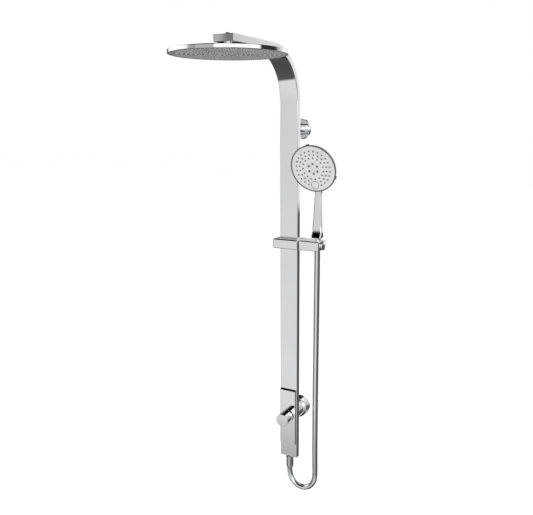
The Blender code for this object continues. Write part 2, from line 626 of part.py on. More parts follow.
def make_slider():
    """The block round the riser, its two glides and the screw that sets their grip."""
    low, high = SLIDER_Z - SLIDER_HEIGHT / 2, SLIDER_Z + SLIDER_HEIGHT / 2
    body = box("slider_body", (-SLIDER_HALF, SLIDER_FRONT, low), (SLIDER_HALF, SLIDER_BACK, high), CHROME)
    soften(smooth(body), 0.0016)
    glide = 0.0020
    half = RISER_WIDTH / 2 + GAP
    hole_low = (-half, FRONT_Y - glide - 2 * GAP, low - CUT_PAST)
    hole_high = (half, BACK_Y + glide + 2 * GAP, high + CUT_PAST)
    boolean(body, box("slider_hole", hole_low, hole_high))
    for name, y in (("slider_glide_front", FRONT_Y - GAP - glide), ("slider_glide_back", BACK_Y + GAP)):
        box(name, (-0.020, y, SLIDER_Z - 0.011), (0.020, y + glide, SLIDER_Z + 0.011), POLYMER)
    start, end = (0, SLIDER_BACK + CUT_PAST, SLIDER_Z), (0, BACK_Y, SLIDER_Z)
    boolean(body, rod("tension_hole", start, end, 0.0028, sides=16))
    inside = BACK_Y + 2 * GAP + glide
    screw = turned(
        "slider_tension_screw", [(0, 0.0118), (0.0025, 0.0118), (0.0025, 0), (0, 0)],
        at(0, inside, SLIDER_Z, Matrix.Rotation(math.radians(-90), 4, "X")), STEEL, steps=16,
    )
    slot_low = (-0.004, inside + 0.0100, SLIDER_Z - 0.0005)
    slot_high = (0.004, inside + 0.0130, SLIDER_Z + 0.0005)
    boolean(screw, box("tension_slot", slot_low, slot_high))
    pivot_hole = ((RISER_WIDTH / 2 - 0.001, MID_Y, SLIDER_Z), (SLIDER_HALF + CUT_PAST, MID_Y, SLIDER_Z))
    boolean(body, rod("slider_pivot_hole", *pivot_hole, 0.0053))
    pin = [(0, 0.0310), (0.0045, 0.0310), (0.0050, 0.0305), (0.0050, 0), (0, 0)]
    turned("cradle_pivot_pin", pin, at(RISER_WIDTH / 2 + 0.0012, MID_Y, SLIDER_Z, TO_RIGHT), STEEL, steps=24)


def nut_radius(z):
    """The conical nut's radius at a height, which the cradle's bore follows."""
    share = (z - HANDSET_NUT_BOTTOM) / (HANDSET_NUT_TOP - HANDSET_NUT_BOTTOM)
    return 0.0080 + 0.0013 * share


def make_cradle():
    """The block that holds the handset, with a conical bore that is open at the back for the hose."""
    low, high = SLIDER_Z - SLIDER_HEIGHT / 2, SLIDER_Z + SLIDER_HEIGHT / 2
    cradle = box("cradle", (CRADLE_LEFT, CRADLE_FRONT, low), (CRADLE_RIGHT, CRADLE_BACK, high), CHROME)
    soften(smooth(cradle), 0.0014)
    top, bottom = high + CUT_PAST, low - CUT_PAST
    bore = [(0, top), (nut_radius(top) + GAP, top), (nut_radius(bottom) + GAP, bottom), (0, bottom)]
    boolean(cradle, turned("cradle_bore", bore, at(HOLDER_X, MID_Y, 0)))
    half = HOSE_RADIUS + GAP
    slot_high = (HOLDER_X + half, CRADLE_BACK + CUT_PAST, top)
    boolean(cradle, box("cradle_slot", (HOLDER_X - half, MID_Y, bottom), slot_high))
    pivot_hole = ((CRADLE_LEFT - CUT_PAST, MID_Y, SLIDER_Z), (0.0578, MID_Y, SLIDER_Z))
    boolean(cradle, rod("cradle_pivot_hole", *pivot_hole, 0.0053))
    knob_hole = ((0.0888, MID_Y, SLIDER_Z), (CRADLE_RIGHT + CUT_PAST, MID_Y, SLIDER_Z))
    boolean(cradle, rod("cradle_knob_hole", *knob_hole, 0.0028, sides=12))


def make_holder_knob():
    radius = HOLDER_KNOB_RADIUS
    base = CRADLE_RIGHT + GAP
    profile = [(0, 0.0052), (radius - 0.0012, 0.0052), (radius - 0.0003, 0.0048), (radius, 0.0040)]
    profile += [(radius, 0.0010), (radius - 0.0006, 0), (0.0025, 0), (0.0025, -0.0034), (0, -0.0034)]
    turned("holder_knob", profile, at(base, MID_Y, SLIDER_Z, TO_RIGHT), CHROME, steps=24)


# --- handset ---------------------------------------------------------------------------------------------


def make_handset_inlet():
    """The conical nut in the cradle, its washer and the nipple that it holds."""
    axis = at(HOLDER_X, MID_Y, 0)
    top, bottom = HANDSET_NUT_TOP, HANDSET_NUT_BOTTOM
    nut = [(0.0068, top), (nut_radius(top) - 0.0006, top), (nut_radius(top), top - 0.0006)]
    nut += [(nut_radius(bottom + 0.0005), bottom + 0.0005), (nut_radius(bottom) - 0.0005, bottom)]
    nut += [(0.0040, bottom), (0.0040, bottom + 0.0150), (0.0068, bottom + 0.0150)]
    turned("hose_upper_nut", nut, axis, CHROME, loop=True)
    seat = bottom + 0.0150 + GAP
    washer = [(0.0036, seat + 0.0018), (0.0064, seat + 0.0018), (0.0064, seat), (0.0036, seat)]
    turned("hose_upper_washer", washer, axis, RUBBER, steps=16, loop=True)
    foot = seat + 0.0018 + GAP
    nipple = [(0.0030, foot + 0.0250), (0.0064, foot + 0.0250), (0.0064, foot), (0.0030, foot)]
    turned("handset_inlet_nipple", nipple, axis, BRASS, steps=16, loop=True)
    return foot + 0.0250


def make_handle(nipple_top):
    """The flat tapered handle and the dished back of the head, in one piece with the water's way inside."""
    height = HANDLE_TOP - HANDLE_BOTTOM
    bm = bmesh.new()
    bmesh.ops.create_cube(bm, size=1)
    for vertex in bm.verts:
        upper = vertex.co.z > 0
        vertex.co.x *= 0.0150 if upper else 0.0285
        vertex.co.y = vertex.co.y * (0.0110 if upper else 0.0165) + (HANDLE_LEAN if upper else 0)
        vertex.co.z = height if upper else 0
    mesh = mesh_from("handset_body", bm)
    body = add_object("handset_body", mesh, CHROME, at(HOLDER_X, MID_Y, HANDLE_BOTTOM))
    soften(smooth(body), 0.0034, segments=3)
    face = Matrix.Translation(FACE_CENTRE) @ OUT_OF_FACE
    lip = FACE_RADIUS
    back = [(0, -0.0029), (lip, -0.0029), (lip, -0.0093), (lip + 0.0032, -0.0093), (lip + 0.0040, -0.0102)]
    back += [(lip + 0.0037, -0.0125), (lip + 0.0012, -0.0152), (lip - 0.0053, -0.0185)]
    back += [(lip - 0.0153, -0.0215), (lip - 0.0333, -0.0240)]
    join(body, turned("head_back", back + [(0, -0.0247)], face, steps=32))
    hollow = [(0, -0.0019), (0.0505, -0.0019), (0.0505, -0.0130), (0.0440, -0.0168), (0.0360, -0.0193)]
    boolean(body, turned("head_hollow", hollow + [(0.0190, -0.0218), (0, -0.0225)], face, steps=24))
    neck = (HOLDER_X, MID_Y + HANDLE_LEAN, HANDLE_TOP - 0.010)
    foot = (HOLDER_X, MID_Y, HANDLE_BOTTOM - CUT_PAST)
    socket_top = (HOLDER_X, MID_Y, nipple_top + GAP)
    boolean(body, rod("nipple_socket", foot, socket_top, 0.0067))
    boolean(body, rod("handle_bore", foot, neck, 0.0028, sides=16))
    into_head = (HOLDER_X, MID_Y - 0.010, HANDLE_TOP - 0.004)
    boolean(body, rod("neck_bore", (neck[0], neck[1], neck[2] - 0.002), into_head, 0.0022, sides=16))


def make_selector_ring():
    """The ring round the face that changes the spray, with three finger tabs."""
    face = Matrix.Translation(FACE_CENTRE) @ OUT_OF_FACE
    inner = FACE_RADIUS + GAP
    outer = RING_RADIUS
    profile = [(inner, 0.0003), (outer - 0.0015, 0.0003), (outer - 0.0006, 0), (outer, -0.0010)]
    profile += [(outer, -0.0080), (outer - 0.0008, -0.0090), (inner, -0.0090)]
    ring = turned("handset_selector_ring", profile, face, CHROME, 32, loop=True)
    for degrees in (98, 218, 338):
        turn = face @ Matrix.Rotation(math.radians(degrees), 4, "Z")
        bm = bmesh.new()
        size = Matrix.Diagonal((0.0036, 0.0090, 0.0066, 1))
        bmesh.ops.create_cube(bm, size=1, matrix=Matrix.Translation((outer - 0.0001, 0, -0.0045)) @ size)
        name = f"ring_tab_{degrees}"
        tab = add_object(name, mesh_from(name, bm), None, turn)
        join(ring, soften(tab, 0.0008, segments=1))


def make_handset_face():
    face = Matrix.Translation(FACE_CENTRE) @ OUT_OF_FACE
    found = ring_places(HANDSET_RINGS, BADGE_CENTRE, BADGE_RADIUS + 0.0030)
    places = [(x, y, 1.5 if radius < 0.020 else 1.0) for x, y, radius in found]
    radius = FACE_RADIUS
    profile = [(0, -0.0006), (radius - 0.0004, -0.0006), (radius, -0.0010), (radius, -0.0026), (0, -0.0026)]
    plate = turned("handset_face_plate", profile, face, FACE_GREY, 32)
    boolean(plate, cones("handset_holes", places, 0.0005, -0.0035, 0.0015, 0.0015, face))
    mat_radius = 0.0494
    profile = [(0, -0.0029), (mat_radius, -0.0029), (mat_radius, -0.0040), (0, -0.0040)]
    mat = turned("handset_nozzle_mat", profile, face, NOZZLE_GREY, 24)
    join(mat, cones("handset_tips", places, 0.0004, -0.0035, 0.0008, 0.0011, face))
    badge = [(0, 0.0004), (BADGE_RADIUS - 0.0004, 0.0004), (BADGE_RADIUS, 0), (BADGE_RADIUS, -0.0003)]
    place = face @ Matrix.Translation((*BADGE_CENTRE, 0))
    turned("handset_badge", badge + [(0, -0.0003)], place, CHROME, 24)


# --- pivots ----------------------------------------------------------------------------------------------

PIVOTS = (  # an empty on each joint's axis, and the pieces that move about it or along it
    ("rose_swivel_pivot", (0, HEAD_Y, BALL_Z), ("overhead_ball_stud",)),
    (
        "rose_tilt_pivot",
        (0, HEAD_Y, BALL_Z),
        ("overhead_ball_nut", "overhead_ball_seal", "overhead_shell", "overhead_face_plate")
        + ("overhead_nozzle_mat",),
    ),
    ("diverter_pivot", (0, MID_Y, VALVE_Z), ("diverter_knob", "diverter_spindle", "knob_grub_screw")),
    (
        "slider_pivot",
        (0, MID_Y, SLIDER_Z),
        ("slider_body", "slider_glide_front", "slider_glide_back", "slider_tension_screw")
        + ("cradle_pivot_pin",),
    ),
    ("holder_pivot", (CRADLE_LEFT, MID_Y, SLIDER_Z), ("cradle",)),
    ("tilt_knob_pivot", (CRADLE_RIGHT, MID_Y, SLIDER_Z), ("holder_knob",)),
    (
        "handset_pivot",
        (HOLDER_X, MID_Y, HANDSET_NUT_BOTTOM),
        ("handset_body", "handset_face_plate", "handset_nozzle_mat", "handset_badge", "handset_inlet_nipple")
        + ("hose_upper_nut", "hose_upper_washer"),
    ),
    ("spray_ring_pivot", FACE_CENTRE, ("handset_selector_ring",)),
)


def hang_on_pivots():
    """Parents every moving piece to the empty on its joint's axis, and leaves it where it is."""
    for name, place, pieces in PIVOTS:
        pivot = bpy.data.objects.new(name, None)
        pivot.empty_display_size = 0.02
        pivot.location = place
        PARTS.objects.link(pivot)
        for piece in pieces:
            moving = bpy.data.objects[piece]
            moving.parent = pivot
            moving.matrix_parent_inverse = Matrix.Translation(place).inverted()


def main():
    make_riser()
    make_arm_end()
    make_water_tube(*make_arm_outlet())
    make_rose_stud()
    make_ball_nut()
    make_ball_seal()
    make_rose_shell()
    make_rose_face()
    make_upper_bracket()
    make_inlet()
    make_valve_body()
    make_cartridge()
    make_cover_plate()
    make_knob()
    make_foot()
    make_hose()
    make_slider()
    make_cradle()
    make_holder_knob()
    make_handle(make_handset_inlet())
    make_selector_ring()
    make_handset_face()
    hang_on_pivots()


clear_scene()
PARTS = new_collection(OBJECT_NAME, hidden=False)
CUTTERS = new_collection("cutters", hidden=True)
main()
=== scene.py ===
"""Looks of the rainfall shower column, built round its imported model.

Metres. X runs right along the wall, Y into the wall, Z up; the wall is the plane Y = 0.
"""

import functools
import json
import math

import bmesh
import bpy
from mathutils import Matrix, Vector


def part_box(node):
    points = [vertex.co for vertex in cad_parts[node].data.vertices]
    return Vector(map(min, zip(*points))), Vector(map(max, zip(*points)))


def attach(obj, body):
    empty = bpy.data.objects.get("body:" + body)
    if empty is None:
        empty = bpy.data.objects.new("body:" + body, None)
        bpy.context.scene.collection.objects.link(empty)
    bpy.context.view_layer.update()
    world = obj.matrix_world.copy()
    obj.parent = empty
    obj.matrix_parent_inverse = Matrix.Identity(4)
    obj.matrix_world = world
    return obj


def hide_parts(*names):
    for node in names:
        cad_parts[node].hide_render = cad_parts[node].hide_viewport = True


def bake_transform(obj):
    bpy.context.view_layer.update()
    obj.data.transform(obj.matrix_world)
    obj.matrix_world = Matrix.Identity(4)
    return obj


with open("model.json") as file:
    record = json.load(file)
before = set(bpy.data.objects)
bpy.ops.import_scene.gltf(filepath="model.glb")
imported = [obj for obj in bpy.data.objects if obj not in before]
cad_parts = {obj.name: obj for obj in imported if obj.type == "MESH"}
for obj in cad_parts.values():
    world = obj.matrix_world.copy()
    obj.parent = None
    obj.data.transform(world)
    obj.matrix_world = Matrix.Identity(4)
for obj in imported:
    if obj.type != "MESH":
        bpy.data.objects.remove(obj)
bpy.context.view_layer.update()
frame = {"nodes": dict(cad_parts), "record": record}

OUT_OF_WALL = Matrix.Rotation(math.radians(90), 4, "X")  # local +Z points to the room
TO_RIGHT = Matrix.Rotation(math.radians(90), 4, "Y")  # local +Z points along +X
HANDSET_TILT = math.radians(18)

# Smooth hose, as (x, height above the riser's foot) in the riser's middle plane.
HOSE_RADIUS = 0.0075
HOSE_ROUTE = (
    (0.0, -0.0363), (0.0, -0.046), (0.0014, -0.057), (0.0055, -0.068), (0.0125, -0.0775), (0.0215, -0.0842),
    (0.032, -0.0877), (0.0425, -0.0880), (0.053, -0.0850), (0.0625, -0.0788), (0.070, -0.070),
    (0.0752, -0.059), (0.0775, -0.046), (0.0780, -0.030), (0.0778, -0.008), (0.0774, 0.025),
    (0.0772, 0.070), (0.0771, 0.130), (0.0771, 0.200), (0.0773, 0.270), (0.0776, 0.340),
    (0.0779, 0.410), (0.0782, 0.480), (0.0784, 0.540), (0.0785, 0.575), (0.0785, 0.5947),
)
HOSE_JOINT_HEIGHT = 0.484  # where the hose's upper stretch begins
HOSE_TAIL = 0.062  # the stretch that leaves the holder with the lifted handset


def centre(node):
    low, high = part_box(node)
    return (low + high) / 2


RISER_LOW, RISER_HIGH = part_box("riser_column")
FOOT_Z = RISER_LOW.z
MID_Y = centre("foot_plug").y
ROSE = centre("overhead_shell")
FACE_NORMAL = Vector((0, -math.cos(HANDSET_TILT), -math.sin(HANDSET_TILT)))
FACE_PLATE_DEPTH = 0.0016  # from the handset's front plane back to the middle of its face plate
HANDSET_FACE = centre("handset_face_plate") + FACE_NORMAL * FACE_PLATE_DEPTH
OUT_OF_FACE = Matrix.Translation(HANDSET_FACE) @ Matrix.Rotation(math.radians(90) + HANDSET_TILT, 4, "X")
FACE_RADIUS = 0.0563
PLATE_RADIUS = 0.0579  # the satin plate laps over the inside of the ring
RING_RADIUS = 0.0608
# The handset's nozzles, as (radius of the ring, how many, radius of a nozzle's foot).
HANDSET_RINGS = ((0.0450, 24, 0.0016), (0.0362, 20, 0.0016), (0.0275, 15, 0.0016), (0.0127, 6, 0.0022))

CLEARANCE = 0.0003
CUT_PAST = 0.001  # how far a cutter reaches past the surface that it cuts
SCREW_HOLE = 0.0028  # radius


# --- camera, floor and light -----------------------------------------------------------------------------


def make_camera():
    camera = bpy.data.objects.new("camera", bpy.data.cameras.new("camera"))
    bpy.context.scene.collection.objects.link(camera)
    camera.location = (0.7377, -1.4974, 0.0116)
    camera.rotation_euler = (math.radians(78), 0, math.radians(27.611))
    camera.data.sensor_width = 36
    camera.data.lens = 42.28
    camera.data.shift_x = -0.0383
    bpy.context.scene.camera = camera


FLOOR_BELOW_FOOT = 1.05


def make_floor(material):
    """A wide pale floor, a shower floor's distance below the riser."""
    bm = bmesh.new()
    bmesh.ops.create_grid(bm, x_segments=1, y_segments=1, size=30)
    mesh = bpy.data.meshes.new("floor")
    bm.to_mesh(mesh)
    bm.free()
    floor = bpy.data.objects.new("floor", mesh)
    bpy.context.scene.collection.objects.link(floor)
    floor.location = (0, 0, FOOT_Z - FLOOR_BELOW_FOOT)
    floor.visible_glossy = False
    mesh.materials.append(material)


def make_lights():
    """Soft lamps for the matt surfaces, which polished ones don't mirror."""
    target = Vector((0, -0.1, -0.4))
    for name, place, size, power in (
        ("key_light", (-1.6, -2.6, 1.6), 1.8, 26),
        ("fill_light", (2.4, -1.4, 0.6), 2.2, 12),
        ("back_light", (0.8, 2.2, 1.2), 2.0, 12),
    ):
        light = bpy.data.lights.new(name, "AREA")
        light.size = size
        light.energy = power
        obj = bpy.data.objects.new(name, light)
        bpy.context.scene.collection.objects.link(obj)
        obj.location = place
        aim = target - obj.location
        obj.rotation_euler = aim.to_track_quat("-Z", "Y").to_euler()
        obj.visible_glossy = False


class Nodes:
    """Short calls for building a node tree."""

    def __init__(self, tree):
        self.tree = tree
        self.tree.nodes.clear()

    def add(self, kind, values=None, **settings):
        node = self.tree.nodes.new(kind)
        for key, value in settings.items():
            setattr(node, key, value)
        for socket, value in (values or {}).items():
            if isinstance(value, bpy.types.NodeSocket):
                self.tree.links.new(value, node.inputs[socket])
            else:
                node.inputs[socket].default_value = value
        return node

    def math(self, operation, a, b=0.0):
        return self.add("ShaderNodeMath", {0: a, 1: b}, operation=operation).outputs[0]

    def joined(self, operation, *values):
        """Several values in one sum, product or maximum."""
        return functools.reduce(lambda a, b: self.math(operation, a, b), values)

    def panel(self, strength, *reaches):
        """A value of the strength where every reach is 1, fading out with each of them."""
        return self.joined("MULTIPLY", strength, *reaches)

    def choice(self, share, off, on):
        """One value or the other, by a share from 0 to 1."""
        return self.add("ShaderNodeMix", {0: share, 2: off, 3: on}, data_type="FLOAT").outputs[0]

    def ramp(self, value, low, high, to_low=0.0, to_high=1.0, kind="SMOOTHSTEP"):
        return self.add(
            "ShaderNodeMapRange",
            {"Value": value, "From Min": low, "From Max": high, "To Min": to_low, "To Max": to_high},
            interpolation_type=kind,
        ).outputs["Result"]

    def band(self, value, low, high, soft):
        """1 between low and high, falling softly to 0 outside."""
        rise = self.ramp(value, low - soft, low + soft)
        fall = self.ramp(value, high - soft, high + soft, 1.0, 0.0)
        return self.math("MULTIPLY", rise, fall)


def grey_wall(nodes, turn, up):
    """The grey wall across the room. It fades out low down and high up, and has a dark seam at its left."""
    whole_left = nodes.ramp(turn, -30.6, -28.6, 1.0, 0.0)
    low_fade = nodes.math("MAXIMUM", nodes.ramp(up, -0.576, -0.422, kind="LINEAR"), whole_left)
    first_fade = nodes.ramp(up, 0.07, 0.13, 1.0, 0.62)
    last_fade = nodes.ramp(up, 0.13, 0.42, 1.0, 0.0)
    low_reach = nodes.ramp(up, -0.66, -0.42, 3.5, 0.0)  # degrees by which the wall is wider low down
    left_edge = nodes.ramp(nodes.math("ADD", turn, low_reach), -38.0, -34.0)
    right_edge = nodes.ramp(turn, 37, 40, 1.0, 0.0)
    tone = nodes.ramp(up, -0.35, 0.05, 0.70, 0.61, "LINEAR")
    seam = nodes.panel(0.72, nodes.band(turn, -33.2, -30.9, 0.5), nodes.ramp(up, 0.04, 0.08))
    no_seam = nodes.math("SUBTRACT", 1.0, seam)
    return nodes.panel(tone, left_edge, right_edge, low_fade, first_fade, last_fade, no_seam)


def white_panels(nodes, turn, up):
    """The bright panels at the right and the left, and one behind the object to its right."""
    front_top = nodes.ramp(up, 0.60, 0.66, 1.0, 0.0)
    front_right = nodes.panel(0.80, nodes.band(turn, 8, 39, 1.5), nodes.ramp(up, 0.0, 0.1), front_top)
    right = nodes.panel(1.15, nodes.band(turn, 8, 95, 4), nodes.band(up, 0.0, 0.62, 0.03))
    left = nodes.panel(1.1, nodes.band(turn, -117, -50, 7), nodes.band(up, 0.0, 0.55, 0.04))
    left_glow = nodes.panel(0.35, nodes.band(turn, -52, -37, 2), nodes.band(up, 0.0, 0.3, 0.04))
    back_strength = nodes.ramp(turn, 130, 166, 0.2, 1.0)
    back_right = nodes.panel(back_strength, nodes.ramp(turn, 133, 140), nodes.band(up, -0.13, 0.72, 0.012))
    return nodes.joined("ADD", nodes.math("MAXIMUM", right, front_right), left, left_glow, back_right)


def outer_panels(nodes, turn, up):
    """The panels for the back, the sides, the underside and the top, the brighter where two overlap."""
    off_room = nodes.math("ABSOLUTE", turn)
    back = nodes.panel(0.75, nodes.ramp(off_room, 168, 172), nodes.band(up, -0.62, 0.30, 0.03))
    back_left_strength = nodes.ramp(turn, -158, -150, 0.9, 0.27)
    back_left_edge = nodes.ramp(turn, -146, -142, 1.0, 0.0)
    back_left = nodes.panel(back_left_strength, back_left_edge, nodes.band(up, -0.06, 0.31, 0.04))
    low_left = nodes.panel(0.60, nodes.band(turn, -112, -82, 3), nodes.band(up, -0.62, -0.02, 0.03))
    low_right = nodes.panel(0.75, nodes.band(turn, 50, 95, 3), nodes.band(up, -0.16, 0.0, 0.03))
    high_left = nodes.panel(0.80, nodes.band(turn, -140, -70, 4), nodes.band(up, 0.28, 0.62, 0.04))
    floor_front = nodes.panel(0.60, nodes.band(turn, -27, 60, 2), nodes.band(up, -0.80, -0.55, 0.02))
    floor_left = nodes.panel(0.60, nodes.band(turn, -100, -46, 2), nodes.band(up, -0.71, -0.55, 0.02))
    ceiling_back = nodes.panel(0.75, nodes.ramp(off_room, 150, 156), nodes.ramp(up, 0.64, 0.70))
    return nodes.joined(
        "MAXIMUM", back, back_left, low_left, low_right, high_left, floor_front, floor_left, ceiling_back
    )


def dim_surroundings(nodes, turn, up):
    """The dark grey between the panels. It is black above, and darker to the back left and to the right."""
    underneath = nodes.ramp(up, -0.98, -0.72, 0.06, 0.105, "LINEAR")
    above = nodes.ramp(up, 0.25, 0.50, 0.105, 0.0)
    back_left = nodes.ramp(turn, -140, -125, 0.15, 1.0)
    right_gap = nodes.math("SUBTRACT", 1.0, nodes.panel(0.7, nodes.band(turn, 94, 132, 4)))
    return nodes.panel(nodes.math("MINIMUM", underneath, above), back_left, right_gap)


def make_world():
    """White to the eye and to matt surfaces. Polished ones see soft panels between dark gaps.

    A direction is its turn, in degrees from the room's side of the object towards the right, and how far it
    points up, from -1 straight down to 1 straight up.
    """
    world = bpy.data.worlds.new("studio")
    bpy.context.scene.world = world
    world.use_nodes = True
    world.cycles.sampling_method = "NONE"
    nodes = Nodes(world.node_tree)
    direction = nodes.add("ShaderNodeTexCoord").outputs["Generated"]
    axes = nodes.add("ShaderNodeSeparateXYZ", {0: direction})
    toward_room = nodes.math("MULTIPLY", axes.outputs["Y"], -1.0)
    turn = nodes.math("DEGREES", nodes.math("ARCTAN2", axes.outputs["X"], toward_room))
    up = axes.outputs["Z"]
    room = nodes.math("ADD", grey_wall(nodes, turn, up), white_panels(nodes, turn, up))
    panels = nodes.math("MAXIMUM", room, outer_panels(nodes, turn, up))
    polished = nodes.math("ADD", panels, dim_surroundings(nodes, turn, up))
    rays = nodes.add("ShaderNodeLightPath").outputs
    matt = nodes.choice(rays["Is Camera Ray"], 1.12, 1.0)
    seen = nodes.choice(rays["Is Glossy Ray"], matt, polished)
    output = nodes.add("ShaderNodeBackground", {"Color": (1, 1, 1, 1), "Strength": seen})
    nodes.add("ShaderNodeOutputWorld", {"Surface": output.outputs[0]})


# --- materials -------------------------------------------------------------------------------------------


def new_material(name):
    made = bpy.data.materials.new(name)
    made.use_nodes = True
    return made, Nodes(made.node_tree)


def principled(nodes, colour, roughness, normal=None, fixed=None):
    """The surface shader. The sockets in fixed are the same all over."""
    values = {"Base Color": colour, "Roughness": roughness, **(fixed or {})}
    if normal:
        values["Normal"] = normal
    shader = nodes.add("ShaderNodeBsdfPrincipled", values)
    nodes.add("ShaderNodeOutputMaterial", {"Surface": shader.outputs[0]})


def noise(nodes, scale, detail=2.0, stretch=(1, 1, 1)):
    place = nodes.add("ShaderNodeTexCoord").outputs["Object"]
    place = nodes.add("ShaderNodeMapping", {"Vector": place, "Scale": stretch}).outputs[0]
    return nodes.add("ShaderNodeTexNoise", {"Vector": place, "Scale": scale, "Detail": detail}).outputs["Fac"]


def colours(nodes, factor, dark, light, low=0.3, high=0.7):
    share = nodes.ramp(factor, low, high)
    mix = nodes.add("ShaderNodeMix", {0: share, 6: (*dark, 1), 7: (*light, 1)}, data_type="RGBA")
    return mix.outputs[2]


def bump(nodes, height, strength, distance):
    values = {"Height": height, "Strength": strength, "Distance": distance}
    return nodes.add("ShaderNodeBump", values).outputs[0]


def chrome(name, tint=(0.86, 0.865, 0.875)):
    """Bright plate: a clean mirror with faint wiping haze and polishing lines."""
    made, nodes = new_material(name)
    dull = tuple(c * 0.965 for c in tint)
    colour = colours(nodes, noise(nodes, 7.0, 3.0), dull, tint)
    haze = nodes.ramp(noise(nodes, 22.0, 4.0), 0.35, 0.75, 0.015, 0.055)
    lines = noise(nodes, 520.0, 2.0, (1, 1, 0.12))
    principled(nodes, colour, haze, bump(nodes, lines, 0.012, 0.0002), {"Metallic": 1.0})
    return made


def moulded(name, dark, light, roughness, grain=900.0, depth=0.25, metallic=0.0):
    """Moulded plastic or silicone: an even colour with a fine grain and slightly uneven gloss."""
    made, nodes = new_material(name)
    colour = colours(nodes, noise(nodes, 35.0, 3.0), dark, light)
    gloss = nodes.ramp(noise(nodes, 60.0, 2.0), 0.3, 0.7, roughness - 0.05, roughness + 0.06)
    relief = bump(nodes, noise(nodes, grain, 2.0), depth, 0.0001)
    principled(nodes, colour, gloss, relief, {"Metallic": metallic})
    return made


def machined(name, dark, light, roughness, stretch):
    """Turned or brushed metal, with its tool lines along one direction and a little tarnish."""
    made, nodes = new_material(name)
    colour = colours(nodes, noise(nodes, 40.0, 4.0), dark, light)
    lines = noise(nodes, 700.0, 3.0, stretch)
    gloss = nodes.ramp(lines, 0.3, 0.7, roughness - 0.06, roughness + 0.10)
    principled(nodes, colour, gloss, bump(nodes, lines, 0.15, 0.0002), {"Metallic": 1.0})
    return made


def hose_sleeve(name):
    """Silver sleeve wound under a clear smooth coat."""
    made, nodes = new_material(name)
    along = nodes.add("ShaderNodeUVMap", uv_map="wrap").outputs[0]
    parts = nodes.add("ShaderNodeSeparateXYZ", {0: along})
    turns = nodes.math("ADD", nodes.math("MULTIPLY", parts.outputs["Y"], 420.0), parts.outputs["X"])
    wave = nodes.math("SINE", nodes.math("MULTIPLY", turns, 2 * math.pi))
    colour = colours(nodes, wave, (0.74, 0.75, 0.77), (0.82, 0.83, 0.85), -1.0, 1.0)
    gloss = nodes.ramp(noise(nodes, 45.0, 3.0), 0.3, 0.7, 0.03, 0.07)
    clear_coat = {"Metallic": 0.95, "Coat Weight": 0.6, "Coat Roughness": 0.04}
    principled(nodes, colour, gloss, bump(nodes, wave, 0.05, 0.0001), clear_coat)
    return made


def make_materials():
    floor, nodes = new_material("pale_floor")
    colour = colours(nodes, noise(nodes, 0.4, 2.0), (0.93, 0.93, 0.93), (0.95, 0.95, 0.95))
    principled(nodes, colour, 0.9)
    return {
        "floor": floor,
        "chrome": chrome("chrome_plate"),
        "plated_abs": chrome("chrome_on_abs", (0.85, 0.855, 0.86)),
        "satin_face": moulded("satin_face", (0.60, 0.60, 0.605), (0.66, 0.66, 0.665), 0.34, metallic=0.15),
        # A darker copy of the satin face, drawn on the rose's downward-facing face plate: painted shade.
        "rose_face": moulded("rose_face_painted_shade", (0.24, 0.24, 0.245), (0.28, 0.28, 0.285), 0.42, metallic=0.1),
        "grey_silicone": moulded("nozzle_silicone", (0.13, 0.132, 0.135), (0.17, 0.172, 0.175), 0.5, 500.0),
        # A paler copy of the nozzle silicone, drawn on the rose's nozzles: painted light on the nubs.
        "silicone_painted_light": moulded("silicone_painted_light", (0.32, 0.32, 0.325), (0.38, 0.38, 0.385), 0.6, 500.0),
        "ring_grey": moulded("ring_grey", (0.10, 0.10, 0.103), (0.13, 0.13, 0.134), 0.26, metallic=0.4),
        "brass": machined("machined_brass", (0.66, 0.47, 0.20), (0.80, 0.61, 0.31), 0.24, (1, 1, 0.05)),
        "steel": machined("brushed_steel", (0.50, 0.51, 0.52), (0.62, 0.63, 0.64), 0.26, (0.05, 1, 1)),
        "white_polymer": moulded("white_polymer", (0.76, 0.76, 0.73), (0.82, 0.82, 0.80), 0.42),
        "dark_polymer": moulded("dark_polymer", (0.03, 0.03, 0.033), (0.055, 0.055, 0.06), 0.45),
        "rubber": moulded("seal_rubber", (0.018, 0.018, 0.018), (0.035, 0.035, 0.035), 0.7, 400.0, 0.4),
        "hose_silver": hose_sleeve("hose_silver"),
    }


# --- mesh building ---------------------------------------------------------------------------------------


SHARP_ANGLE = math.radians(32)


def finish_piece(name, bm, slot, body, replaces=(), look=None):
    """Makes a piece of the mesh, with its material, its body and the CAD nodes that it stands for."""
    bmesh.ops.recalc_face_normals(bm, faces=bm.faces)
    mesh = bpy.data.meshes.new(name)
    bm.to_mesh(mesh)
    bm.free()
    mesh.shade_smooth()
    mesh.set_sharp_from_angle(angle=SHARP_ANGLE)
    mesh.materials.append(MATERIALS[look or slot])
    piece = bpy.data.objects.new(name, mesh)
    bpy.context.scene.collection.objects.link(piece)
    weighted = piece.modifiers.new("even_normals", "WEIGHTED_NORMAL")
    weighted.keep_sharp = True
    if body:
        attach(piece, body)
    if replaces:
        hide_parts(*replaces)
    return piece


def filleted(points, closed=False, steps=4):
    """A profile with rounded corners.

    A point is (r, z) for a sharp corner, or (r, z, how far from the corner its round begins).
    """
    count = len(points)
    line = []
    for i, point in enumerate(points):
        here = Vector(point[:2])
        ends = not closed and i in (0, count - 1)
        if len(point) < 3 or ends:
            line.append(here)
            continue
        before, after = Vector(points[i - 1][:2]), Vector(points[(i + 1) % count][:2])
        into, out = before - here, after - here
        start = here + into.normalized() * min(point[2], into.length * 0.49)
        end = here + out.normalized() * min(point[2], out.length * 0.49)
        for k in range(steps + 1):
            t = k / steps
            line.append(start * (1 - t) ** 2 + here * (2 * t * (1 - t)) + end * t * t)
    return line


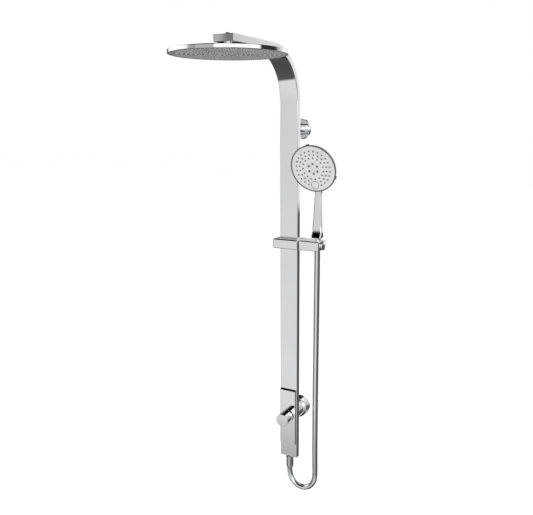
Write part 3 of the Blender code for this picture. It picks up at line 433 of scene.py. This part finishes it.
def turn_into(bm, profile, matrix, steps=96, closed=False):
    """Adds the profile of (radius, height) points, turned about the matrix's Z axis."""
    line = filleted(profile, closed)
    rings = []
    for r, z in line:
        if r < 1e-6:
            rings.append([bm.verts.new(matrix @ Vector((0, 0, z)))])
            continue
        angles = (2 * math.pi * k / steps for k in range(steps))
        rings.append([bm.verts.new(matrix @ Vector((r * math.cos(a), r * math.sin(a), z))) for a in angles])
    pairs = list(zip(rings, rings[1:]))
    if closed:
        pairs.append((rings[-1], rings[0]))
    for a, b in pairs:
        for k in range(steps):
            n = (k + 1) % steps
            if len(a) == 1 and len(b) == 1:
                continue
            if len(a) == 1:
                bm.faces.new((a[0], b[n], b[k]))
            elif len(b) == 1:
                bm.faces.new((a[k], a[n], b[0]))
            else:
                bm.faces.new((a[k], a[n], b[n], b[k]))


def turned(name, profile, matrix, slot, body, replaces=(), steps=96, closed=False, look=None):
    bm = bmesh.new()
    turn_into(bm, profile, matrix, steps, closed)
    return finish_piece(name, bm, slot, body, replaces, look)


def rounded_box(low, high, radius, segments):
    low, high = Vector(low), Vector(high)
    bm = bmesh.new()
    place = Matrix.Translation((low + high) / 2) @ Matrix.Diagonal((*(high - low), 1))
    bmesh.ops.create_cube(bm, size=1, matrix=place)
    bmesh.ops.bevel(bm, geom=bm.edges[:], offset=radius, segments=segments, profile=0.5, affect="EDGES")
    return bm


def rod_mesh(start, end, radius, steps=64, end_radius=None):
    """A plain cutter between two points, wider or narrower at its end if asked."""
    start, end = Vector(start), Vector(end)
    turn = (end - start).to_track_quat("Z", "Y").to_matrix().to_4x4()
    bm = bmesh.new()
    bmesh.ops.create_cone(
        bm, cap_ends=True, segments=steps, radius1=radius, radius2=end_radius or radius,
        depth=(end - start).length, matrix=Matrix.Translation((start + end) / 2) @ turn,
    )
    return bm


def block_mesh(centre_of_block, width, depth, height):
    """A plain cutter with square corners."""
    bm = bmesh.new()
    place = Matrix.Translation(centre_of_block) @ Matrix.Diagonal((width, depth, height, 1))
    bmesh.ops.create_cube(bm, size=1, matrix=place)
    return bm


def temporary(name, bm):
    bmesh.ops.recalc_face_normals(bm, faces=bm.faces)
    mesh = bpy.data.meshes.new(name)
    bm.to_mesh(mesh)
    bm.free()
    obj = bpy.data.objects.new(name, mesh)
    bpy.context.scene.collection.objects.link(obj)
    return obj


def carved(bm, cutters):
    """The mesh with each cutter taken away."""
    body = temporary("carved_body", bm)
    others = [temporary("cutter", cutter) for cutter in cutters]
    for other in others:
        modifier = body.modifiers.new("cut", "BOOLEAN")
        modifier.operation = "DIFFERENCE"
        modifier.object = other
    bpy.context.view_layer.update()
    evaluated = body.evaluated_get(bpy.context.evaluated_depsgraph_get())
    result = bmesh.new()
    result.from_mesh(evaluated.to_mesh())
    evaluated.to_mesh_clear()
    for obj in [body, *others]:
        mesh = obj.data
        bpy.data.objects.remove(obj)
        bpy.data.meshes.remove(mesh)
    return result


def rounded_rectangle(width, depth, radius, steps=6):
    """Points round a rectangle with round corners, as (across, deep)."""
    corners = ((1, 1, 0), (-1, 1, 90), (-1, -1, 180), (1, -1, 270))
    for across, deep, first in corners:
        for k in range(steps + 1):
            angle = math.radians(first + 90 * k / steps)
            yield (
                across * (width / 2 - radius) + radius * math.cos(angle),
                deep * (depth / 2 - radius) + radius * math.sin(angle),
            )


def skin_between(bm, rings):
    """Joins rings of vertices in turn, each ring closed on itself."""
    for a, b in zip(rings, rings[1:]):
        for k in range(len(a)):
            n = (k + 1) % len(a)
            bm.faces.new((a[k], a[n], b[n], b[k]))


# --- hose ------------------------------------------------------------------------------------------------


def smooth_line(route, per_step):
    """Points on a smooth curve through every point of the route, straight at both ends."""
    places = [Vector(point) for point in route]
    places = [2 * places[0] - places[1], *places, 2 * places[-1] - places[-2]]
    line = []
    for before, a, b, after in zip(places, places[1:], places[2:], places[3:]):
        chord = (b - a).length
        leave = (b - before) * (chord / ((b - a).length + (a - before).length))
        arrive = (after - a) * (chord / ((after - b).length + (b - a).length))
        for i in range(per_step):
            t = i / per_step
            s = 1 - t
            between = a * (s * s * (1 + 2 * t)) + b * (t * t * (3 - 2 * t))
            line.append(between + leave * (t * s * s) - arrive * (t * t * s))
    line.append(places[-2])
    return line


HOSE_SIDES = 28


def hose_mesh(line, radius):
    """A tube along the line, its ends closed, with a wrap map of turns round and metres along."""
    bm = bmesh.new()
    wrap = bm.loops.layers.uv.new("wrap")
    out_of_plane = Vector((0, -1, 0))
    angles = [2 * math.pi * k / HOSE_SIDES for k in range(HOSE_SIDES)]
    rings, lengths = [], [0.0]
    for i, place in enumerate(line):
        ahead = (line[min(i + 1, len(line) - 1)] - line[max(i - 1, 0)]).normalized()
        side = ahead.cross(out_of_plane).normalized()
        lift = side.cross(ahead)
        spokes = [side * math.cos(angle) + lift * math.sin(angle) for angle in angles]
        rings.append([bm.verts.new(place + spoke * radius) for spoke in spokes])
        if i:
            lengths.append(lengths[-1] + (place - line[i - 1]).length)
    for i, (a, b) in enumerate(zip(rings, rings[1:])):
        for k in range(HOSE_SIDES):
            n = (k + 1) % HOSE_SIDES
            face = bm.faces.new((a[k], a[n], b[n], b[k]))
            marks = ((k, i), (k + 1, i), (k + 1, i + 1), (k, i + 1))
            for loop, (round_share, station) in zip(face.loops, marks):
                loop[wrap].uv = (round_share / HOSE_SIDES, lengths[station])
    bm.faces.new(rings[0])
    bm.faces.new(rings[-1])
    return bm


def make_hose(foot_nut, cone_nut):
    """The hose in two stretches, split at the joint height, and a tail for the lifted handset."""
    route = [(x, MID_Y, FOOT_Z + height) for x, height in HOSE_ROUTE]
    line = smooth_line(route, 10)
    joint_z = FOOT_Z + HOSE_JOINT_HEIGHT
    last = max(i for i, place in enumerate(line) if place.z < joint_z)
    lower, upper = line[: last + 1], line[last:]
    start, top = line[0], line[-1]

    hose = finish_piece("hose_run", hose_mesh(lower, HOSE_RADIUS), "hose_silver", None, ["hose"])
    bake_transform(hose)

    upper_hose = finish_piece("hose_top", hose_mesh(upper, HOSE_RADIUS), "hose_silver", None)
    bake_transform(upper_hose)

    tail_steps = 24
    tail_line = [top - Vector((0, 0, HOSE_TAIL * k / tail_steps)) for k in range(tail_steps + 1)]
    tail_radius = HOSE_RADIUS - 0.0002  # so that it hides inside the hose until the handset is lifted
    tail = finish_piece("hose_tail", hose_mesh(tail_line, tail_radius), "hose_silver", "handset")


# --- riser and arm ---------------------------------------------------------------------------------------

RISER_WIDTH = RISER_HIGH.x - RISER_LOW.x
RISER_DEPTH = 0.015
RISER_WALL = 0.0015
BEND_OUTER = 0.127
BEND_STEPS = 72
EDGE_ROUND = 0.0014


def riser_stations():
    """(point, direction out of the tube's wall side) along the riser's middle line, foot to arm end."""
    radius = BEND_OUTER - RISER_DEPTH / 2
    bend = Vector((0, MID_Y - radius, RISER_HIGH.z - BEND_OUTER))
    back = Vector((0, 1, 0))
    end_stretch = 0.004
    yield Vector((0, MID_Y, FOOT_Z)), back
    yield Vector((0, MID_Y, FOOT_Z + end_stretch)), back
    for k in range(BEND_STEPS + 1):
        angle = math.radians(90 * k / BEND_STEPS)
        out = Vector((0, math.cos(angle), math.sin(angle)))
        yield bend + out * radius, out
    for short in (end_stretch, 0):
        yield Vector((0, RISER_LOW.y + short, RISER_HIGH.z - RISER_DEPTH / 2)), Vector((0, 0, 1))


def make_riser():
    """The flat tube with its hollow, in one sweep from its foot to the end of the arm."""
    bm = bmesh.new()
    outer = list(rounded_rectangle(RISER_WIDTH, RISER_DEPTH, EDGE_ROUND, 5))
    bore_round = 0.0006
    inner = list(rounded_rectangle(RISER_WIDTH - 2 * RISER_WALL, RISER_DEPTH - 2 * RISER_WALL, bore_round, 5))
    skins = []
    for section in (outer, inner):
        rings = []
        for place, out in riser_stations():
            rings.append([bm.verts.new(place + Vector((x, 0, 0)) + out * deep) for x, deep in section])
        skin_between(bm, rings)
        skins.append(rings)
    for end in (0, -1):
        skin_between(bm, [skins[0][end], skins[1][end]])
    finish_piece("riser_tube", bm, "chrome", "column", ["riser_column"])


def make_arm_end():
    """The cap, with a fine round edge, and the dome plug."""
    low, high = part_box("arm_end_cap")
    bm = rounded_box(low, (high.x, low.y + 0.002, high.z), 0.0007, 4)
    finish_piece("arm_cap", bm, "chrome", "column", ["arm_end_cap"])
    top = RISER_HIGH.z
    dome = [(0, 0.0045), (0.0042, 0.0044, 0.0030), (0.0063, 0.0022, 0.0018), (0.0065, 0.0003), (0, 0.0003)]
    place = Matrix.Translation((0, ROSE.y, top))
    turned("arm_dome_plug", dome, place, "chrome", "column", ["arm_top_plug"], 48)


# --- overhead rose ---------------------------------------------------------------------------------------

ROSE_RADIUS = 0.125
ROSE_PITCH = 0.0098  # between nozzle rings


def nozzle_into(bm, matrix, foot, tip, height, sides):
    """A soft nozzle: a collar on the plate, a groove, and a tapered nub with a small outlet."""
    profile = [
        (foot * 1.45, 0.0), (foot * 1.38, height * 0.16), (foot * 1.08, height * 0.16), (foot, height * 0.10),
        (tip * 1.12, height * 0.82), (tip * 0.9, height), (tip * 0.42, height), (0, height * 0.72),
    ]
    turn_into(bm, profile, matrix, sides)


def make_rose_nozzles(face_z):
    """Rings of nozzles that point down, every other ring turned by half a step."""
    bm = bmesh.new()
    down = Matrix.Rotation(math.pi, 4, "X")
    plain_edge = 0.012
    spacing = ROSE_PITCH * 1.04
    for ring in range(int((ROSE_RADIUS - plain_edge) / ROSE_PITCH)):
        radius = ROSE_PITCH * (ring + 0.9)
        count = round(2 * math.pi * radius / spacing)
        for k in range(count):
            angle = 2 * math.pi * (k + 0.5 * (ring % 2)) / count
            place = (radius * math.cos(angle), ROSE.y + radius * math.sin(angle), face_z)
            outward = Matrix.Translation(place) @ down
            nozzle_into(bm, outward, foot=0.00185, tip=0.00115, height=0.0014, sides=8)
    # Drawn paler than the grey silicone of their slot, as painted light on the nubs.
    finish_piece(
        "rose_nozzles", bm, "grey_silicone", "rose", ["overhead_nozzle_mat"], look="silicone_painted_light"
    )


def make_rose():
    """The thin shell, open below, with the face plate and its nozzles inside the rim."""
    face_low, face_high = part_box("overhead_face_plate")
    shell_low, shell_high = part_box("overhead_shell")
    under, top = shell_low.z, shell_high.z
    place = Matrix.Translation((0, ROSE.y, 0))
    rim = ROSE_RADIUS
    inner_rim = rim - 0.0017
    hole = 0.0064
    boss = 0.0083
    inside = top - 0.0052
    shell = [
        (hole, top), (boss, top, 0.0004), (boss, top - 0.0034, 0.0008), (0.016, top - 0.0036),
        (rim - 0.0008, top - 0.0051, 0.0011), (rim, top - 0.0061, 0.0007), (rim, under, 0.0005),
        (inner_rim, under, 0.0003), (inner_rim, top - 0.0070), (boss, inside), (hole, inside),
    ]
    turned("rose_shell", shell, place, "chrome", "rose", ["overhead_shell"], 192, closed=True)
    edge = rim - 0.0020
    plate = [
        (0, face_high.z), (edge, face_high.z, 0.0002), (edge, face_low.z, 0.0004),
        (edge - 0.0012, face_low.z), (edge - 0.0016, face_low.z + 0.0003),
        (edge - 0.0024, face_low.z + 0.0003), (edge - 0.0028, face_low.z), (0, face_low.z),
    ]
    # Drawn with the darker copy of the satin face, as painted shade on a plate that faces down.
    turned("rose_face", plate, place, "satin_face", "rose", ["overhead_face_plate"], 160, look="rose_face")
    make_rose_nozzles(face_low.z)


def make_ball_nut():
    """The swivel nut, with grip flutes round it."""
    low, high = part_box("overhead_ball_nut")
    bm = bmesh.new()
    place = Matrix.Translation((0, ROSE.y, 0))
    widest = 0.0120
    shoulder = high.z - 0.0024
    bore = 0.0086
    profile = [
        (0.0041, high.z), (0.0080, high.z, 0.0006), (widest, shoulder, 0.0008), (widest, low.z, 0.0005),
        (bore, low.z), (bore, low.z + 0.0031), (0.0062, low.z + 0.0035), (0.0045, high.z - 0.0014),
    ]
    turn_into(bm, profile, place, 96, closed=True)
    flutes = 24
    flute_depth = 0.018  # as a share of the radius
    for vertex in bm.verts:
        across = Vector((vertex.co.x, vertex.co.y - ROSE.y))
        if across.length > widest - 0.0008 and vertex.co.z < shoulder - 0.0002:
            wave = math.cos(flutes * math.atan2(across.y, across.x))
            share = 1 - flute_depth * max(0.0, wave)
            vertex.co.x = across.x * share
            vertex.co.y = ROSE.y + across.y * share
    finish_piece("rose_swivel_nut", bm, "chrome", "rose", ["overhead_ball_nut"])


# --- wall fixings ----------------------------------------------------------------------------------------


def make_upper_bracket():
    """The post that holds the riser off the wall, and its thin round cover at the wall."""
    post_low, post_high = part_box("upper_post")
    front = -post_low.y
    outer = (post_high.x - post_low.x) / 2
    back = -post_high.y
    spigot_bore = 0.0083
    bore_end = 0.0210
    post = [
        (SCREW_HOLE, front), (outer, front, 0.0006), (outer, back), (spigot_bore, back),
        (spigot_bore, bore_end), (SCREW_HOLE, bore_end),
    ]
    turned("bracket_post", post, OUT_OF_WALL, "chrome", "column", ["upper_post"], 64, closed=True)
    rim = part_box("upper_flange")[1].x
    hole = outer + CLEARANCE
    face = 0.0090
    skin = 0.0015
    cover = [
        (hole, face), (rim, face, 0.0014), (rim, CLEARANCE, 0.0003), (rim - skin, CLEARANCE),
        (rim - skin, face - skin), (hole, face - skin),
    ]
    turned("bracket_cover", cover, OUT_OF_WALL, "chrome", "column", ["upper_flange"], 96, closed=True)


def make_inlet():
    """The escutcheon at the wall and the stepped barrel that runs from it to the riser."""
    valve = centre("inlet_barrel")
    place = Matrix.Translation((0, 0, valve.z)) @ OUT_OF_WALL
    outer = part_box("inlet_flange")[1].x
    front = -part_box("inlet_barrel")[0].y
    ring_hole = 0.0203
    ring_face = 0.0080
    ring = [(ring_hole, ring_face), (outer, ring_face, 0.0010), (outer, 0, 0.0002), (ring_hole, 0)]
    turned("inlet_escutcheon", ring, place, "chrome", "column", ["inlet_flange"], 96, closed=True)
    wide = outer - 0.0005
    neck = 0.0228
    shoulder = 0.0240  # how far the wide part stands out from the wall
    rear = ring_face + CLEARANCE
    mouth = 0.0161
    skin = 0.0020
    end_skin = 0.0025
    barrel = [
        (mouth, front), (neck, front, 0.0006), (neck, shoulder, 0.0006), (wide, shoulder, 0.0014),
        (wide, rear), (wide - skin, rear), (wide - skin, shoulder - skin), (neck - skin, shoulder - skin),
        (neck - skin, front - end_skin), (mouth, front - end_skin),
    ]
    turned("inlet_cover", barrel, place, "chrome", "column", ["inlet_barrel"], 96, closed=True)


# --- diverter --------------------------------------------------------------------------------------------


def make_cover_plate():
    """A flat plate whose ends slope back to the riser, with fine soft edges."""
    low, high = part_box("cover_plate")
    valve_z = centre("diverter_knob").z
    slope = 0.0024  # how much the front is shorter than the back, at each end
    outline = [(high.y, low.z), (high.y, high.z), (low.y, high.z - slope), (low.y, low.z + slope)]
    bm = bmesh.new()
    rings = [[bm.verts.new((x, y, z)) for y, z in outline] for x in (low.x, high.x)]
    skin_between(bm, rings)
    for ring in rings:
        bm.faces.new(ring)
    edge_round = 0.00035
    bmesh.ops.bevel(bm, geom=bm.edges[:], offset=edge_round, segments=3, profile=0.5, affect="EDGES")
    hole_radius = 0.0164
    hole = rod_mesh((0, high.y + CUT_PAST, valve_z), (0, low.y - CUT_PAST, valve_z), hole_radius)
    finish_piece("valve_cover", carved(bm, [hole]), "chrome", "column", ["cover_plate"])


def make_knob():
    """The cylinder that turns, hollow behind, with its grub screw's hole underneath, and the fixed collar."""
    low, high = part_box("diverter_knob")
    radius = (high.x - low.x) / 2
    valve_z = (low.z + high.z) / 2
    place = Matrix.Translation((0, 0, valve_z)) @ OUT_OF_WALL
    front, rear = -low.y, -high.y
    skin = 0.0020
    recess = rear + 0.0040
    spindle = 0.0043
    spindle_end = front - 0.0162
    profile = [
        (0, front), (radius, front, 0.0010), (radius, rear, 0.0006), (radius - skin, rear),
        (radius - skin, recess), (spindle, recess), (spindle, spindle_end), (0, spindle_end),
    ]
    bm = bmesh.new()
    turn_into(bm, profile, place, 128)
    screw_y = centre("knob_grub_screw").y
    screw_hole = 0.0021
    hole_top = valve_z - 0.0035
    hole = rod_mesh((0, screw_y, low.z - CUT_PAST), (0, screw_y, hole_top), screw_hole, 32)
    finish_piece("diverter_handle", carved(bm, [hole]), "chrome", "diverter", ["diverter_knob"])
    low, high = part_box("knob_collar")
    inner, outer = 0.0050, 0.0150
    collar = [(inner, -low.y), (outer, -low.y, 0.0006), (outer, -high.y), (inner, -high.y)]
    turned("diverter_collar", collar, place, "chrome", "column", ["knob_collar"], 96, closed=True)


# --- hose nuts -------------------------------------------------------------------------------------------


def groove(radius, top):
    """A shallow groove turned into a cylinder, from its upper edge down."""
    floor = radius - 0.0005
    return [(radius, top), (floor, top - 0.0004), (floor, top - 0.0010), (radius, top - 0.0014)]


def make_lower_nut():
    """The long nut under the riser, with a turned groove at each end."""
    low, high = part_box("hose_lower_nut")
    place = Matrix.Translation((0, MID_Y, 0))
    wide = (high.x - low.x) / 2
    thread = 0.0083
    thread_end = high.z - 0.0130
    throat = 0.0040
    mouth = 0.0076
    mouth_end = low.z + 0.0010
    profile = [
        (thread, high.z), (wide, high.z, 0.0006), *groove(wide, high.z - 0.0040),
        *groove(wide, low.z + 0.0062), (wide, low.z + 0.0028, 0.0012), (wide - 0.0016, low.z, 0.0006),
        (mouth, low.z), (mouth, mouth_end), (throat, mouth_end), (throat, thread_end), (thread, thread_end),
    ]
    return turned("hose_foot_nut", profile, place, "chrome", "column", ["hose_lower_nut"], 80, closed=True)


def make_upper_nut():
    """The cone that sits in the cradle, with a groove below its upper edge."""
    low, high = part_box("hose_upper_nut")
    middle = centre("hose_upper_nut")
    place = Matrix.Translation((middle.x, middle.y, 0))
    wide = (high.x - low.x) / 2
    thread = 0.0068
    thread_end = low.z + 0.0150
    throat = 0.0040
    profile = [
        (thread, high.z), (wide, high.z, 0.0006), (wide - 0.0001, high.z - 0.0030),
        (wide - 0.0005, high.z - 0.0034), (wide - 0.0006, high.z - 0.0040), (wide - 0.0002, high.z - 0.0044),
        (0.0080, low.z, 0.0005), (throat, low.z), (throat, thread_end), (thread, thread_end),
    ]
    return turned(
        "handset_cone_nut", profile, place, "chrome", "handset", ["hose_upper_nut"], 80, closed=True
    )


# --- sliding holder --------------------------------------------------------------------------------------


CUT_HEIGHT = 0.05  # more than the height of the slider and the cradle
PIVOT_HOLE = 0.0053  # radius
SLIDER_ROUND = 0.0028
CRADLE_ROUND = 0.0025


def make_slider():
    """The block round the riser, with holes for its tension screw and the holder's pivot."""
    low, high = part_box("slider_body")
    middle_z = (low.z + high.z) / 2
    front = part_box("slider_glide_front")[0].y - CLEARANCE
    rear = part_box("slider_glide_back")[1].y + CLEARANCE
    half = RISER_WIDTH / 2 + CLEARANCE
    hole = block_mesh((0, (front + rear) / 2, middle_z), 2 * half, rear - front, CUT_HEIGHT)
    screw = rod_mesh((0, high.y + CUT_PAST, middle_z), (0, rear - CUT_PAST, middle_z), SCREW_HOLE, 32)
    pivot_start, pivot_end = half - CUT_PAST, high.x + CUT_PAST
    pivot = rod_mesh((pivot_start, MID_Y, middle_z), (pivot_end, MID_Y, middle_z), PIVOT_HOLE, 32)
    body = carved(rounded_box(low, high, SLIDER_ROUND, 6), [hole, screw, pivot])
    finish_piece("slider_block", body, "chrome", "slider", ["slider_body"])


def make_cradle():
    """The block that takes the cone nut, open at the back so that the hose can go in."""
    low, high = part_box("cradle")
    middle = centre("hose_upper_nut")
    middle_z = (low.z + high.z) / 2
    under = (middle.x, middle.y, low.z - CUT_PAST)
    over = (middle.x, middle.y, high.z + CUT_PAST)
    narrow, wide = 0.0084, 0.0095
    bore = rod_mesh(under, over, narrow, end_radius=wide)
    width = 2 * (HOSE_RADIUS + CLEARANCE)
    depth = high.y - middle.y + CUT_PAST
    slot = block_mesh((middle.x, middle.y + depth / 2, middle_z), width, depth, CUT_HEIGHT)
    pivot_start, pivot_end = low.x - CUT_PAST, 0.0578
    pivot = rod_mesh((pivot_start, MID_Y, middle_z), (pivot_end, MID_Y, middle_z), PIVOT_HOLE, 32)
    screw_start, screw_end = 0.0888, high.x + CUT_PAST
    screw = rod_mesh((screw_start, MID_Y, middle_z), (screw_end, MID_Y, middle_z), SCREW_HOLE, 32)
    body = carved(rounded_box(low, high, CRADLE_ROUND, 6), [bore, slot, pivot, screw])
    finish_piece("handset_cradle", body, "chrome", "holder", ["cradle"])


def make_holder_knob():
    """The round tilt knob, with a low dome on its face."""
    low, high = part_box("holder_knob")
    middle = centre("holder_knob")
    radius = (high.y - low.y) / 2
    thickness = 0.0052
    shank = 0.0025
    shank_end = -0.0034
    place = Matrix.Translation((high.x - thickness, middle.y, middle.z)) @ TO_RIGHT
    profile = [
        (0, thickness), (radius * 0.5, 0.0047, 0.0030), (radius, 0.0036, 0.0008), (radius, 0, 0.0006),
        (shank, 0), (shank, shank_end), (0, shank_end),
    ]
    turned("tilt_knob_cap", profile, place, "chrome", "tilt_knob", ["holder_knob"], 96)


# --- handset ---------------------------------------------------------------------------------------------


def make_handset_body():
    """The handle, flared forward at its foot and slim below the head, and the dished back of the head."""
    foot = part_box("handset_body")[0].z
    x = centre("hose_upper_nut").x
    sections = (  # height, width, depth, how far back, corner round
        (0.0000, 0.0262, 0.0214, -0.0028, 0.0034), (0.0008, 0.0272, 0.0217, -0.0028, 0.0036),
        (0.0050, 0.0277, 0.0193, -0.0018, 0.0036), (0.0100, 0.0278, 0.0168, -0.0008, 0.0036),
        (0.0150, 0.0274, 0.0147, 0.0000, 0.0036), (0.0200, 0.0266, 0.0134, 0.0005, 0.0036),
        (0.0300, 0.0250, 0.0128, 0.0009, 0.0035), (0.0500, 0.0226, 0.0124, 0.0017, 0.0033),
        (0.0700, 0.0205, 0.0120, 0.0025, 0.0031), (0.0900, 0.0188, 0.0114, 0.0032, 0.0030),
        (0.1050, 0.0180, 0.0108, 0.0038, 0.0030), (0.1150, 0.0182, 0.0102, 0.0041, 0.0030),
        (0.1230, 0.0196, 0.0094, 0.0042, 0.0030), (0.1300, 0.0222, 0.0084, 0.0040, 0.0030),
        (0.1360, 0.0254, 0.0072, 0.0034, 0.0028), (0.1410, 0.0280, 0.0058, 0.0026, 0.0024),
    )
    bm = bmesh.new()
    rings = []
    for height, width, depth, back, corner in sections:
        shape = rounded_rectangle(width, depth, corner, 6)
        rings.append([bm.verts.new((x + a, MID_Y + back + b, foot + height)) for a, b in shape])
    skin_between(bm, rings)
    bm.faces.new(rings[0])
    bm.faces.new(rings[-1])
    lip = FACE_RADIUS
    head = [
        (lip - 0.0033, -0.0060), (lip, -0.0060), (lip, -0.0093), (lip + 0.0016, -0.0093, 0.0004),
        (lip + 0.0014, -0.0104, 0.0006), (lip - 0.0002, -0.0130, 0.0014), (lip - 0.0034, -0.0158, 0.0026),
        (lip - 0.0090, -0.0186, 0.0044), (lip - 0.0180, -0.0214, 0.0070), (lip - 0.0340, -0.0240, 0.0100),
        (0, -0.0247),
    ]
    turn_into(bm, head, OUT_OF_FACE, 128)
    finish_piece("handset_shell", bm, "plated_abs", "handset", ["handset_body"])


def make_selector_ring():
    """The ring round the face, narrower behind, with three finger tabs."""
    bm = bmesh.new()
    inner, outer = FACE_RADIUS + CLEARANCE, RING_RADIUS
    plate_gap = PLATE_RADIUS + CLEARANCE
    ring = [
        (plate_gap, 0.0003), (outer - 0.0008, 0.0003, 0.0004), (outer, -0.0010, 0.0006),
        (outer - 0.0026, -0.0082, 0.0006), (outer - 0.0030, -0.0088), (inner, -0.0088), (inner, -0.0034),
        (plate_gap, -0.0034),
    ]
    turn_into(bm, ring, OUT_OF_FACE, 144, closed=True)
    for degrees in (98, 218, 338):
        turn = OUT_OF_FACE @ Matrix.Rotation(math.radians(degrees), 4, "Z")
        tab = rounded_box((outer - 0.0030, -0.0044, -0.0070), (outer + 0.0010, 0.0044, -0.0014), 0.0009, 4)
        tab.transform(turn)
        mesh = bpy.data.meshes.new("tab")
        tab.to_mesh(mesh)
        tab.free()
        bm.from_mesh(mesh)
        bpy.data.meshes.remove(mesh)
    finish_piece(
        "spray_selector", bm, "plated_abs", "spray_ring", ["handset_selector_ring"], look="ring_grey"
    )


def make_handset_face():
    """The satin plate, the nozzles, and the round blank badge, ringed with dark grey silicone as painted
    shade for the gap round it.
    """
    edge = PLATE_RADIUS
    plate_rear, plate_front = -0.0026, -0.0006
    plate = [
        (0, plate_rear), (edge, plate_rear), (edge, -0.0009, 0.0004), (edge - 0.0007, plate_front),
        (0, plate_front),
    ]
    turned("handset_plate", plate, OUT_OF_FACE, "satin_face", "handset", ["handset_face_plate"], 128)
    badge_y = -0.043  # down the face from its middle
    badge_space = 0.0125  # no nozzle stands closer than this to the badge's middle
    bm = bmesh.new()
    for radius, count, size in HANDSET_RINGS:
        for k in range(count):
            angle = 2 * math.pi * (k + 0.5) / count
            x, y = radius * math.cos(angle), radius * math.sin(angle)
            if math.dist((x, y), (0, badge_y)) < badge_space:
                continue
            place = OUT_OF_FACE @ Matrix.Translation((x, y, plate_front))
            nozzle_into(bm, place, foot=size, tip=size * 0.62, height=size * 0.8, sides=14)
    finish_piece("handset_nozzles", bm, "grey_silicone", "handset", ["handset_nozzle_mat"])
    rim = 0.0095
    badge = [
        (0, 0.0002), (rim - 0.0007, 0.0002, 0.0003), (rim, -0.0003), (rim, plate_front), (0, plate_front),
    ]
    place = OUT_OF_FACE @ Matrix.Translation((0, badge_y, 0))
    turned("handset_blank_badge", badge, place, "satin_face", "handset", ["handset_badge"], 64)
    # A thin ring of dark grey silicone on the plate round the badge: painted shade for the gap between badge
    # and plate.
    inner, outer = rim + 0.0002, rim + 0.0011
    seam = [(inner, -0.0002), (outer, -0.0002), (outer, plate_front), (inner, plate_front)]
    turned("badge_painted_shade_ring", seam, place, "grey_silicone", "handset", (), 64, closed=True)


def dress_cad_nodes():
    """Gives each CAD node that still shows the finish of its slot."""
    for part in frame["record"]["subparts"]:
        node = frame["nodes"][part["node"]]
        node.data.materials.clear()
        node.data.materials.append(MATERIALS[part["material_slot"]])


MATERIALS = make_materials()
make_camera()
make_hose(make_lower_nut(), make_upper_nut())
make_riser()
make_arm_end()
make_rose()
make_ball_nut()
make_upper_bracket()
make_inlet()
make_cover_plate()
make_knob()
make_slider()
make_cradle()
make_holder_knob()
make_handset_body()
make_selector_ring()
make_handset_face()
dress_cad_nodes()
make_floor(MATERIALS["floor"])
make_lights()
make_world()
bpy.context.scene.view_settings.view_transform = "Standard"
